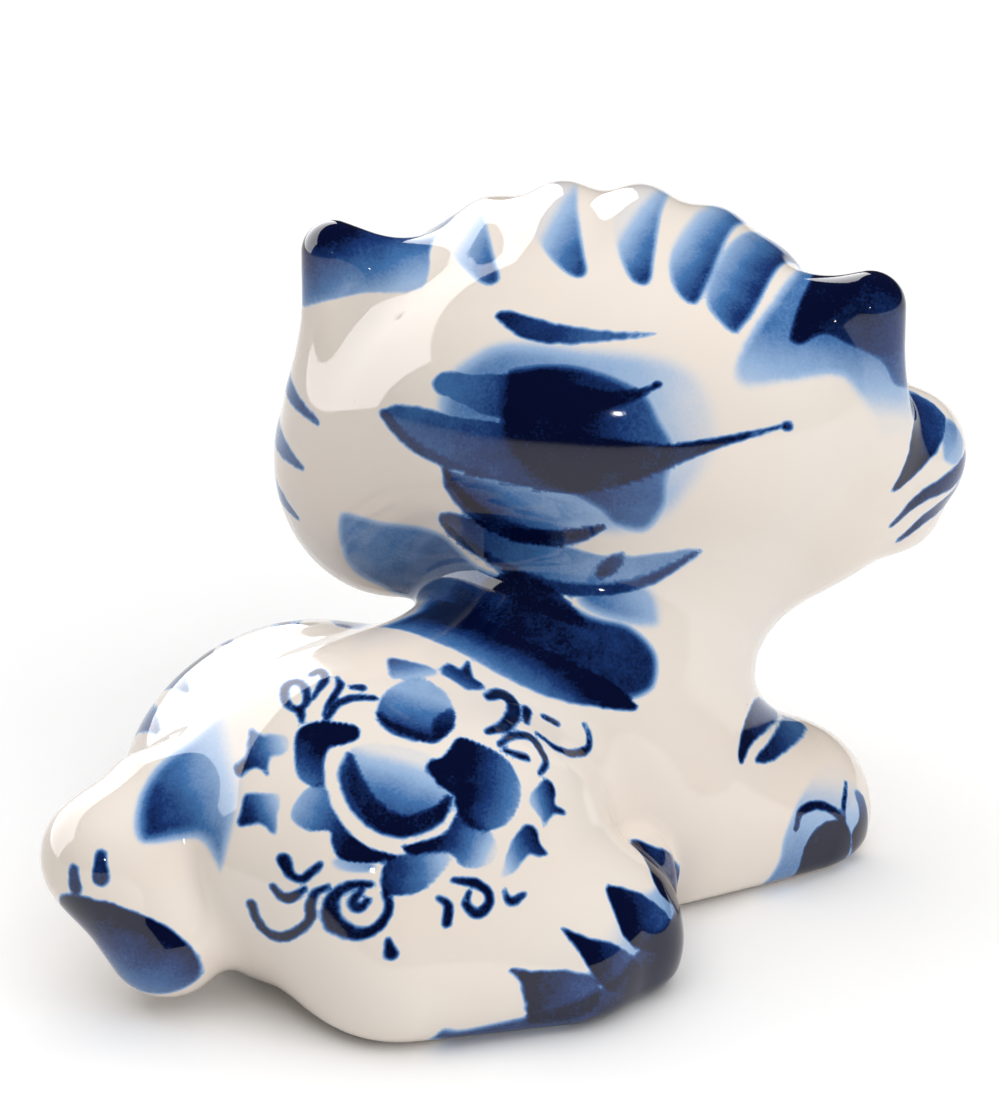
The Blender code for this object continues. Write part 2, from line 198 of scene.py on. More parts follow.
# Head lumps are measured from HEAD_CENTRE: to the kitten's right, ahead and up.
HEAD_LUMPS = [(Ball((0.0, 4.0, 1.0), (29.0, 19.0, 19.0)), 0.0)]
HEAD_LUMPS += [(Ball((-22.0, 7.5, -7.5), (13.0, 13.0, 15.0)), 6.0)]
HEAD_LUMPS += [(Ball((24.5, 11.0, -6.5), (11.0, 11.5, 10.0)), 6.0)]
HEAD_LUMPS += [(Ball((4.0, 9.0, -11.0), (25.0, 15.0, 14.5)), 6.0)]
HEAD_LUMPS += [(lock, 3.0) for lock in forelock_locks()]
HEAD_LUMPS += [(Ball((33.0, 12.0, -6.0), (5.0, 7.0, 6.0)), 3.0)]
HEAD_LUMPS += [(Ball((30.5, 12.0, -12.0), (5.0, 7.0, 4.5)), 2.0)]
HEAD_LUMPS += [(Web((-28.0, 4.0, 17.0, 3.3), (-28.0, 4.0, 2.0, 3.3), (-16.0, 6.0, 12.0, 3.3)), 5.0)]
HEAD_LUMPS += [(Web((28.0, 3.0, 14.0, 3.7), (28.0, 4.0, -1.0, 3.7), (17.0, 5.0, 10.5, 3.7)), 5.0)]
HEAD_LUMPS += [(Ball((-3.5, 24.0, -9.0), (7.0, 7.0, 6.0)), 3.0)]
HEAD_LUMPS += [(Ball((5.5, 24.0, -9.0), (7.0, 7.0, 6.0)), 3.0)]
HEAD_LUMPS += [(Ball((1.0, 23.0, -15.0), (5.5, 5.5, 4.0)), 3.0)]
HEAD_LUMPS += [(Ball((1.0, 29.5, -4.5), (3.0, 2.5, 2.2)), 1.5)]


# ---------------------------------------------------------------- the blended form
def head_frame():
    """Turns head coordinates (right, ahead, up) into modelling coordinates."""
    turn = math.radians(HEAD_TURN)
    right = Vector((math.sin(turn), -math.cos(turn), 0.0))
    ahead = Vector((math.cos(turn), math.sin(turn), 0.0))
    up = Vector((0.0, 0.0, 1.0))
    axes = Matrix((right, ahead, up)).transposed()
    return Matrix.Translation(HEAD_CENTRE) @ axes.to_4x4()


def fillet(first, second, width):
    """Joins two distances as one surface with a rounded inside corner."""
    if width == 0.0:
        return np.minimum(first, second)
    mix = np.clip(0.5 + 0.5 * (second - first) / width, 0.0, 1.0)
    return second + (first - second) * mix - width * mix * (1.0 - mix)


def blended(lumps, points):
    result = lumps[0][0].distance(points)
    for lump, width in lumps[1:]:
        result = fillet(result, lump.distance(points), width)
    return result


def in_head(points):
    to_head = np.array(head_frame().inverted())
    return points @ to_head[:3, :3].T + to_head[:3, 3]


def body_distance(points):
    """Distance in mm from each point to the surface of body, legs and tail, negative inside."""
    return blended(BODY_LUMPS, points)


def head_distance(points):
    """The same for the head with its hair, ears and face."""
    return blended(HEAD_LUMPS, in_head(points))

def vent_distance(points):
    """Depth in mm that each point lies inside the bore of the firing vent."""
    away = np.hypot(points[:, 0] - VENT_PLACE[0], points[:, 1] - VENT_PLACE[1])
    return np.minimum(VENT_BORE / 2.0 - away, GROUND + VENT_DEPTH - points[:, 2])


def fired_distance(points):
    """Distance in mm from each point to the finished kitten, its base ground flat and vented."""
    kitten = fillet(body_distance(points), head_distance(points), NECK_BLEND)
    grounded = -fillet(-kitten, points[:, 2] - GROUND, BASE_EDGE)
    return -fillet(-grounded, -vent_distance(points), VENT_EDGE)


# ---------------------------------------------------------------- fine skin
def slope_of(distance, points):
    """Gradient of a distance, measured forwards along each axis."""
    here = distance(points)
    slope = np.empty_like(points)
    for axis in range(3):
        nudge = np.zeros(3)
        nudge[axis] = SLOPE_STEP
        slope[:, axis] = (distance(points + nudge) - here) / SLOPE_STEP
    return here, slope


def settle(points):
    """Moves points along the slope onto the fired surface."""
    for _ in range(SETTLE_STEPS):
        gap, slope = slope_of(fired_distance, points)
        steepness = np.maximum((slope * slope).sum(axis=1), 0.25)
        move = slope * (gap / steepness)[:, None]
        far = np.maximum(length(move) / SETTLE_REACH, 1.0)
        points = points - move / far[:, None]
    return points


def grid_of(distance):
    """Distances on a fine grid around the kitten, true near its surface and only signed elsewhere."""
    low = np.array(CAD_BOX[0]) / MM + np.array(ORIGIN) - GRID_MARGIN
    high = np.array(CAD_BOX[1]) / MM + np.array(ORIGIN) + GRID_MARGIN
    blocks = np.ceil((high - low) / (GRAIN * BLOCK)).astype(int)
    middles = np.stack(np.meshgrid(*(np.arange(n) for n in blocks), indexing="ij"), axis=-1).reshape(-1, 3)
    coarse = distance(low + GRAIN * (middles * BLOCK + (BLOCK - 1) / 2.0))
    values = np.repeat(coarse, BLOCK ** 3).reshape(*blocks, BLOCK, BLOCK, BLOCK)
    near = np.abs(coarse) < NEAR_SURFACE
    inner = np.stack(np.meshgrid(*[np.arange(BLOCK)] * 3, indexing="ij"), axis=-1).reshape(1, -1, 3)
    fine = (middles[near][:, None, :] * BLOCK + inner).reshape(-1, 3)
    flat = values.reshape(-1, BLOCK ** 3)
    flat[near] = distance(low + GRAIN * fine).reshape(-1, BLOCK ** 3)
    values = values.transpose(0, 3, 1, 4, 2, 5).reshape(blocks * BLOCK)
    return low, values


def surface_net(low, values):
    """A closed net of quads where the grid's distances change sign: its points and faces."""
    inside = values < 0.0
    shape = np.array(values.shape) - 1
    total = np.zeros((*shape, 3))
    count = np.zeros(shape)
    corners = [np.array(corner) for corner in np.ndindex(2, 2, 2)]
    for first in corners:
        for axis in range(3):
            if first[axis]:
                continue
            second = first + np.eye(3, dtype=int)[axis]
            take = [tuple(slice(c, c + n) for c, n in zip(corner, shape)) for corner in (first, second)]
            crossed = inside[take[0]] != inside[take[1]]
            before = values[take[0]][crossed]
            after = values[take[1]][crossed]
            place = np.repeat(first[None, :].astype(float), len(before), axis=0)
            place[:, axis] = before / (before - after)
            total[crossed] += place
            count[crossed] += 1.0
    used = count > 0.0
    number = np.full(shape, -1)
    number[used] = np.arange(used.sum())
    points = low + GRAIN * (np.argwhere(used) + total[used] / count[used][:, None])
    faces = []
    for axis in range(3):
        one, two = (axis + 1) % 3, (axis + 2) % 3
        ahead = np.roll(inside, -1, axis=axis)
        edge = np.argwhere(inside != ahead)
        edge = edge[np.all((edge > 0) & (edge < shape), axis=1)]
        out = inside[tuple(edge.T)]
        step_one, step_two = np.eye(3, dtype=int)[one], np.eye(3, dtype=int)[two]
        around = [edge - step_one - step_two, edge - step_two, edge, edge - step_one]
        quad = np.stack([number[tuple(cell.T)] for cell in around], axis=1)
        quad[~out] = quad[~out][:, ::-1]
        faces.append(quad)
    return points, np.vstack(faces)


def evened(points, faces):
    """Moves each point to the middle of its neighbours in the net."""
    start = faces.ravel()
    end = np.roll(faces, -1, axis=1).ravel()
    count = np.bincount(start, minlength=len(points)) + np.bincount(end, minlength=len(points))
    middle = np.empty_like(points)
    for axis in range(3):
        onward = np.bincount(start, weights=points[end, axis], minlength=len(points))
        back = np.bincount(end, weights=points[start, axis], minlength=len(points))
        middle[:, axis] = (onward + back) / np.maximum(count, 1)
    return middle


def fine_skin():
    """The finished surface: its points, the outward normal at each point, and its faces."""
    points, faces = surface_net(*grid_of(fired_distance))
    for _ in range(SETTLE_ROUNDS):
        points = settle(evened(points, faces))
    _, slope = slope_of(fired_distance, points)
    return points, slope / np.maximum(length(slope), 1e-9)[:, None], faces


# ---------------------------------------------------------------- painting
def smooth_line(path, closed=False, finer=6):
    """Points along a Catmull-Rom curve through the given rows."""
    rows = np.array(path, dtype=float)
    if closed:
        rows = np.vstack([rows[-1:], rows, rows[:2]])
    else:
        rows = np.vstack([2.0 * rows[:1] - rows[1:2], rows, 2.0 * rows[-1:] - rows[-2:-1]])
    before, start, end, after = rows[:-3], rows[1:-2], rows[2:-1], rows[3:]
    steps = np.linspace(0.0, 1.0, finer, endpoint=False)[:, None, None]
    curve = 0.5 * (2.0 * start + (end - before) * steps
                   + (2.0 * before - 5.0 * start + 4.0 * end - after) * steps ** 2
                   + (3.0 * start - before - 3.0 * end + after) * steps ** 3)
    curve = curve.transpose(1, 0, 2).reshape(-1, rows.shape[1])
    return curve if closed else np.vstack([curve, rows[-2:-1]])


def to_segments(spots, starts, ends):
    """How far along each segment a spot's nearest point is, and how far away."""
    along = ends - starts
    reach = np.maximum((along * along).sum(axis=1), 1e-9)
    step = np.einsum("sed,ed->se", spots[:, None, :] - starts, along) / reach
    step = np.clip(step, 0.0, 1.0)
    gap = spots[:, None, :] - starts - step[:, :, None] * along
    return step, np.sqrt((gap * gap).sum(axis=2))


class Side:
    """A flat drawing board held against the kitten: spots are millimetres right and up on it."""

    def __init__(self, kitten, middle, facing, clay="any", mirrored=False, least_facing=0.12,
                 depth=(-30.0, 30.0), ends_at=100.0, size=1.0):
        flip = np.array((1.0, -1.0 if mirrored else 1.0, 1.0))
        facing = np.array(facing, dtype=float)
        facing /= np.sqrt(facing @ facing)
        right = np.cross((0.0, 0.0, 1.0), facing)
        right /= np.sqrt(right @ right)
        local = kitten.points * flip - np.array(middle)
        self.kitten = kitten
        self.spots = np.stack([local @ right, local @ np.cross(facing, right)], axis=1) / size
        deep = local @ facing
        turned = (kitten.normals * flip) @ facing
        limits = (turned - least_facing) / 0.12, (deep - depth[0]) / 1.5, (depth[1] - deep) / 1.5
        self.hold = np.clip(np.min(limits, axis=0), 0.0, 1.0)
        self.open = (turned > least_facing) & (deep > depth[0]) & (deep < depth[1])
        self.open &= kitten.points[:, 0] < ends_at
        if clay != "any":
            self.open &= kitten.on_head == (clay == "head")

    def near(self, outline, spare):
        low = outline.min(axis=0) - spare
        high = outline.max(axis=0) + spare
        return np.flatnonzero(self.open & np.all((self.spots > low) & (self.spots < high), axis=1))

    def patch(self, outline, dark, pale, load=(0.9, 0.3), layer="line", fade=0.0):
        """A filled shape, loaded with pigment at one spot and thinner towards another."""
        curve = smooth_line(outline, closed=True)
        chosen = self.near(curve, PAINT_REACH)
        if len(chosen) == 0:
            return
        spots = self.spots[chosen]
        ends = np.roll(curve, -1, axis=0)
        _, gap = to_segments(spots, curve, ends)
        rise = (curve[:, 1] > spots[:, 1:]) != (ends[:, 1] > spots[:, 1:])
        run = ends[:, 1] - curve[:, 1]
        run = np.where(np.abs(run) < 1e-9, 1e-9, run)
        cross = curve[:, 0] + (spots[:, 1:] - curve[:, 1]) * (ends[:, 0] - curve[:, 0]) / run
        inside = (rise & (spots[:, :1] < cross)).sum(axis=1) % 2 == 1
        edge = np.where(inside, 1.0, -1.0) * gap.min(axis=1)
        way = np.array(pale, dtype=float) - dark
        thin = np.clip((spots - dark) @ way / (way @ way), 0.0, 1.0)
        self.kitten.lay(layer, chosen, edge, self.hold[chosen] * (load[0] + (load[1] - load[0]) * thin), fade)

    def line(self, path, widths, load=(0.85, 0.85), layer="line", fade=0.0):
        """A brush stroke along a path; widths are half widths at the path's points."""
        if isinstance(widths, float):
            widths = [widths] * len(path)
        rows = smooth_line([(*spot, width) for spot, width in zip(path, widths)])
        chosen = self.near(rows[:, :2], PAINT_REACH + max(widths))
        if len(chosen) == 0:
            return
        step, gap = to_segments(self.spots[chosen], rows[:-1, :2], rows[1:, :2])
        edges = rows[:-1, 2] + step * (rows[1:, 2] - rows[:-1, 2]) - gap
        best = edges.argmax(axis=1)
        every = np.arange(len(chosen))
        done = (best + step[every, best]) / (len(rows) - 1)
        pigment = self.hold[chosen] * (load[0] + (load[1] - load[0]) * done)
        self.kitten.lay(layer, chosen, edges[every, best], pigment, fade)

    def dot(self, spot, radius, load=0.85):
        self.line([spot, (spot[0] + 0.1, spot[1])], radius, (load, load))


class Kitten:
    """The points to be painted, with each layer's distance to a paint edge and pigment load."""

    def __init__(self, points, normals):
        self.points = points
        self.normals = normals
        self.on_head = head_distance(points) < body_distance(points)
        self.layers = {}
        for layer in LAYER_FEATHER:
            self.layers[layer + "_edge"] = np.full(len(points), -PAINT_REACH)
            self.layers[layer + "_load"] = np.zeros(len(points))

    def lay(self, layer, chosen, edge, load, fade):
        """Adds one stroke to a layer; where strokes overlap, their pigment adds up."""
        edges = self.layers[layer + "_edge"]
        loads = self.layers[layer + "_load"]
        if fade > 0.0:
            part = np.clip(edge / fade, 0.0, 1.0)
            load = load * part * part * (3.0 - 2.0 * part)
        old_edge, old_load = edges[chosen], loads[chosen]
        over = np.clip(edge / 0.5 + 0.5, 0.0, 1.0)
        added = 1.0 - (1.0 - np.minimum(old_load, 1.0)) * (1.0 - np.minimum(load, 1.0) * over)
        both = np.where(old_edge > 0.0, np.maximum(added, load * over), load)
        loads[chosen] = np.where(edge > 0.0, both, np.where(edge > old_edge, load, old_load))
        edges[chosen] = np.maximum(old_edge, edge)


def head_side(kitten, facing, **settings):
    """A board against the head; facing is to the right, ahead and up from the head's middle."""
    turn = np.array(head_frame())[:3, :3]
    return Side(kitten, HEAD_CENTRE, turn @ np.array(facing), **settings)


def paint_nape(kitten):
    """The blue whorl on the back of the head and the band along the neck."""
    nape = head_side(kitten, (0.0, -1.0, 0.35), depth=(-12.0, 30.0))
    # a pale cloud, with the dark eye of the whorl in it
    nape.patch([(-15.3, 5.7), (-11.7, 9), (-7.6, 10.5), (0.4, 10.3), (8.5, 10), (13.5, 7), (15.5, 0), (11.5, -7),
                (6.7, -10.4), (2, -11), (-4.4, -11), (-12.4, -8), (-15.2, -3), (-16, 1.8)],
               dark=(-9, 0), pale=(13, 3), load=(0.46, 0.10), layer="wash", fade=3.0)
    nape.patch([(-8.7, 6.1), (-7.4, 7.6), (-2, 8.2), (2.5, 7.4), (6.6, 5.5), (8.6, 2.5), (10.2, -0.6), (9.6, -4),
                (9.2, -7), (6.8, -9.9), (3.4, -9.6), (1.5, -8), (-1, -6.6), (-4, -5.6), (-7.2, -2.4), (-8.8, 1.2)],
               dark=(-5, 1), pale=(9.5, -4), load=(1.0, 0.55), fade=1.6)
    nape.patch([(-7.4, 4.5), (-3, 5.5), (2, 4), (4.5, 0.5), (2, -3), (-3, -4), (-6.6, -1.5)],
               dark=(-4, 0.5), pale=(5, 1), load=(0.9, 0.3), fade=2.5)
    # strokes that start broad on the left and run out to the right
    nape.patch([(-9.6, 11.9), (-8.3, 12.4), (-5, 11.8), (-1.3, 11.2), (3, 10.9), (6.9, 10.9), (3, 10.1),
                (-2.2, 9.5), (-5.9, 9.7), (-8.1, 10.7)], dark=(-9, 11), pale=(1, 11.6), load=(0.92, 0.62))
    nape.patch([(-15.7, 4.9), (-14.5, 6), (-11, 6.1), (-7.2, 6.3), (-1.9, 5.8), (3.3, 5), (7.8, 6), (5.4, 4.1),
                (0.9, 2.6), (-4.3, 1.3), (-9.1, 1.6), (-12.4, 2.7), (-15, 3.8)],
               dark=(-4, 4), pale=(-14, 4), load=(0.85, 0.55))
    nape.patch([(-21.3, 1.1), (-20.1, 2.1), (-17.4, 2.3), (-13.5, 1.7), (-8.6, 1.4), (-1.7, 1), (3.5, 0.2),
                (8.7, -0.1), (13.8, 0.7), (20.7, 2.1), (13.8, -0.4), (8.8, -2.8), (3.6, -4.9), (-1.6, -5.8),
                (-6.9, -5.2), (-12.3, -4.2), (-16.7, -2.9), (-19.7, -0.9)],
               dark=(2, -1), pale=(-18, 0), load=(0.92, 0.62))
    nape.line([(-21, 1.3), (-18, -1.5), (-13, -3.7), (-8, -4.7)], (0.5, 0.6, 0.5, 0.3), (0.7, 0.3))
    nape.dot((7.4, 5.8), 0.45, 0.8)
    nape.dot((20.5, 2), 0.5, 0.8)
    # the crescent under them, dark along its lower edge
    nape.patch([(-14.2, -4), (-10.7, -4.7), (-6.9, -5.1), (-3.2, -5.9), (-1.1, -7.4), (2.2, -9), (0.4, -10.1),
                (-2.8, -10.9), (-7.1, -10.5), (-10.8, -8.6), (-13.3, -6.1)],
               dark=(-7, -10.5), pale=(-4, -6.5), load=(0.85, 0.3))
    nape.line([(-14.1, -4.1), (-13.2, -6.1), (-10.8, -8.4), (-7.1, -10.2), (-2.8, -10.6), (0.4, -9.9), (2.4, -9)],
              (0.4, 0.8, 1.0, 1.0, 0.9, 0.7, 0.3), (0.8, 0.85))
    # the broad leaf below
    nape.patch([(-15.1, -9.6), (-13.8, -8.6), (-10.5, -9.2), (-4.3, -10.5), (1.9, -12.2), (7, -11.9),
                (12.1, -11.2), (10, -13.3), (6, -15.4), (2, -16.5), (-3.2, -16.2), (-8.7, -14.2), (-13, -12.3)],
               dark=(-13, -10), pale=(0, -12.5), load=(0.8, 0.4))
    nape.line([(-14.6, -10), (-9.2, -13.8), (-3.2, -15.7), (2, -15.9), (7, -14.6), (12, -11.4)],
              (0.3, 0.6, 0.7, 0.7, 0.6, 0.2), (0.6, 0.7))
    nape.line([(2, -14.1), (3.1, -13.2), (4.2, -12)], (0.6, 0.9, 0.3), (0.9, 0.6))
    # the band where the head meets the body, washed at the left and almost black below
    nape.patch([(-26.3, -9.4), (-21.7, -9.9), (-15.4, -10.5), (-10.9, -14), (-4.1, -15.5), (1.2, -18), (5.3, -19),
                (8.2, -21.8), (8.5, -25), (7.4, -26.6), (4.7, -27.2), (-0.4, -25.2), (-4.6, -22.9), (-9.9, -20.7),
                (-14, -19.6), (-19.4, -20), (-22.6, -18.4), (-25.5, -16.6), (-26.8, -13.4)],
               dark=(-8, -19), pale=(-19, -10), load=(0.82, 0.42), fade=1.2)
    nape.patch([(-14, -16), (-9, -15.5), (-4, -17), (1, -19.8), (6, -21.5), (8, -24.5), (4.7, -27),
                (-0.4, -25.2), (-4.6, -22.9), (-9.9, -20.7), (-14, -19.4)], dark=(-6, -19), pale=(8, -23),
               load=(0.62, 0.1), fade=2.0)
    nape.line([(-10, -16), (-6.6, -16), (-2.6, -17.6), (0.6, -19.4)], (0.5, 1.5, 1.3, 0.4), (0.9, 0.7))
    nape.patch([(1, -11.5), (8, -15), (8.6, -20), (3, -19.5), (-1, -17)], dark=(1, -17), pale=(8, -14),
               load=(0.55, 0.12), layer="wash", fade=2.0)


def paint_forelock(kitten):
    """One stripe beside each furrow, dark at the furrow and fading to the left."""
    crown = head_side(kitten, (0.0, -0.5, 1.0), clay="head", least_facing=-0.6, depth=(0.0, 40.0))
    for foot, top, low, width in ((-9.4, -12.4, 4.2, 6.4), (-0.4, -2.6, 4.6, 6.6), (6.2, 6.2, 4.2, 5.4),
                                  (11.4, 13.6, 2.8, 5.6), (15.8, 20.0, 0.6, 6.4)):
        reach = top - foot
        crown.patch([(top + 0.5 * reach, 24), (foot + 0.9 * reach, 16), (foot + 0.3 * reach, low + 4.5),
                     (foot, low + 1.2), (foot - 0.8, low), (foot - 2.4, low + 0.5), (foot - 0.7 * width, low + 3),
                     (foot - width + 0.5 * reach, low + 8), (top - width, 17), (top - 0.8 * width + 0.5 * reach, 24)],
                    dark=(foot - 0.2, low + 3), pale=(foot - width, low + 4.5), load=(0.8, 0.08), fade=0.9)


def paint_ears(kitten):
    """Dark tips that fade down the back of each ear, and a pale wash inside."""
    back = head_side(kitten, (0.0, -1.0, 0.35), clay="head", least_facing=-0.5, depth=(-7.0, 14.0))
    back.patch([(-35, 24), (-17, 24), (-17.8, 18.5), (-18, 14.2), (-24.7, 13.2), (-35, 11.8)],
               dark=(-27, 19.5), pale=(-24, 12.5), load=(1.0, 0.22))
    back.patch([(19.6, 11.5), (21, 16.5), (25, 24), (36, 24), (36, 6.5), (31, 5.5), (29, 8.2), (25.6, 9.8),
                (23.6, 10.6), (21.6, 9.6), (20, 10)], dark=(25, 15), pale=(32, 6), load=(1.0, 0.6), fade=1.0)
    back.patch([(15.2, 8), (18.2, 14), (22, 18), (31, 14), (35, 4), (30.4, 0.6), (28.9, 2.3), (26.8, 5.8),
                (24.9, 7.2), (20, 6.4), (16.2, 5.8)], dark=(24, 11), pale=(23, 3.5), load=(0.5, 0.06), layer="wash")
    front = head_side(kitten, (0.0, 1.0, 0.1), clay="head", least_facing=0.0, depth=(-8.0, 16.0))
    for side in (-1.0, 1.0):
        front.patch([(side * 30, 21), (side * 24, 17), (side * 19, 12), (side * 23, 7), (side * 31, 9)],
                    dark=(side * 29, 19), pale=(side * 23, 9), load=(0.9, 0.15), layer="wash")


def paint_cheeks(kitten):
    """Three tapering stripes on each tuft of the cheeks."""
    turn = np.array(head_frame())[:3, :3]
    centre = np.array(HEAD_CENTRE)
    right = Side(kitten, centre + turn @ np.array((33.0, 0.0, 0.0)), turn @ np.array((1.0, -0.55, 0.1)),
                 clay="head", least_facing=-0.1, depth=(-12.0, 30.0))
    right.patch([(9, 2), (10.5, -0.5), (8.4, -1.9), (6.4, -3), (4.3, -3.8), (-0.3, -5.5), (1.2, -2), (3.5, 1)],
                dark=(3, -1), pale=(10, 0), load=(0.95, 0.7))
    right.patch([(8.5, -0.5), (11.5, -1), (12.5, -4), (9.5, -6), (6.5, -4.2)], dark=(9, -2), pale=(9, -7),
                load=(0.4, 0.12), layer="wash", fade=1.0)
    right.line([(12, -6), (9.3, -6.6), (4.4, -7.4), (1, -9.8)], (1.0, 1.2, 0.8, 0.3), (0.7, 0.95))
    right.line([(11.5, -8.6), (8.4, -9.7), (5.8, -10.6), (3.2, -12.3)], (0.8, 1.0, 0.7, 0.3), (0.7, 0.95))
    left = Side(kitten, centre + turn @ np.array((-30.0, 0.0, 0.0)), turn @ np.array((-1.0, -0.5, 0.0)),
                clay="head", least_facing=-0.1, depth=(-14.0, 30.0))
    left.line([(-9, 3.5), (-3, 2.2), (3.3, 0.7)], (1.5, 1.0, 0.3), (0.45, 0.75))
    left.line([(-9, -3.5), (-3, -4.2), (1.8, -4.9)], (1.6, 1.1, 0.3), (0.45, 0.75))
    left.line([(-8, -9.4), (-3, -10.2), (0.3, -11.2)], (1.4, 1.0, 0.3), (0.45, 0.75))


def paint_face(kitten):
    """Wide open eyes, a small nose, a smile and whiskers."""
    face = head_side(kitten, (0.0, 1.0, 0.0), clay="head", depth=(6.0, 40.0))
    middle = -1.0
    face.patch([(middle - 2.4, -3.2), (middle, -2.7), (middle + 2.4, -3.2), (middle + 0.9, -5.4), (middle, -6.1),
                (middle - 0.9, -5.4)], dark=(middle, -3), pale=(middle, -6), load=(0.95, 0.7))
    face.line([(middle, -6), (middle, -8.6)], (0.35, 0.3))
    for side in (-1.0, 1.0):
        eye = middle + side * 10.6
        ring = [(eye + 3.7 * math.cos(turn), -0.6 + 4.2 * math.sin(turn)) for turn in np.arange(0.0, 6.2, 0.7)]
        iris = [(eye + 3.0 * math.cos(turn), -0.8 + 3.5 * math.sin(turn)) for turn in np.arange(0.0, 6.2, 0.7)]
        face.patch(iris, dark=(eye, 3), pale=(eye, -4), load=(0.6, 0.25), layer="wash")
        face.line(ring + ring[:1], 0.4, (0.95, 0.95))
        face.line([(eye - side * 4.2, -1.6), (eye - side * 2, 3.2), (eye + side * 3, 3.4), (eye + side * 5.4, 1.2)],
                  (0.3, 0.7, 0.7, 0.3), (0.95, 0.95))
        face.line([(eye, 1.2), (eye, -2.6)], (1.1, 1.1), (1.0, 1.0))
        face.line([(middle, -8.6), (middle + side * 2.2, -10.6), (middle + side * 5.4, -9.6)], (0.3, 0.4, 0.25))
        for across, up in ((5.0, -7.6), (6.8, -8.6), (4.6, -9.4)):
            face.dot((middle + side * across, up), 0.32)
        for rise in (-1.0, 1.2, 3.4):
            face.line([(middle + side * 9.5, -8.6 + 0.5 * rise), (middle + side * 19, -8.4 + 1.4 * rise)],
                      (0.28, 0.12), (0.8, 0.5))


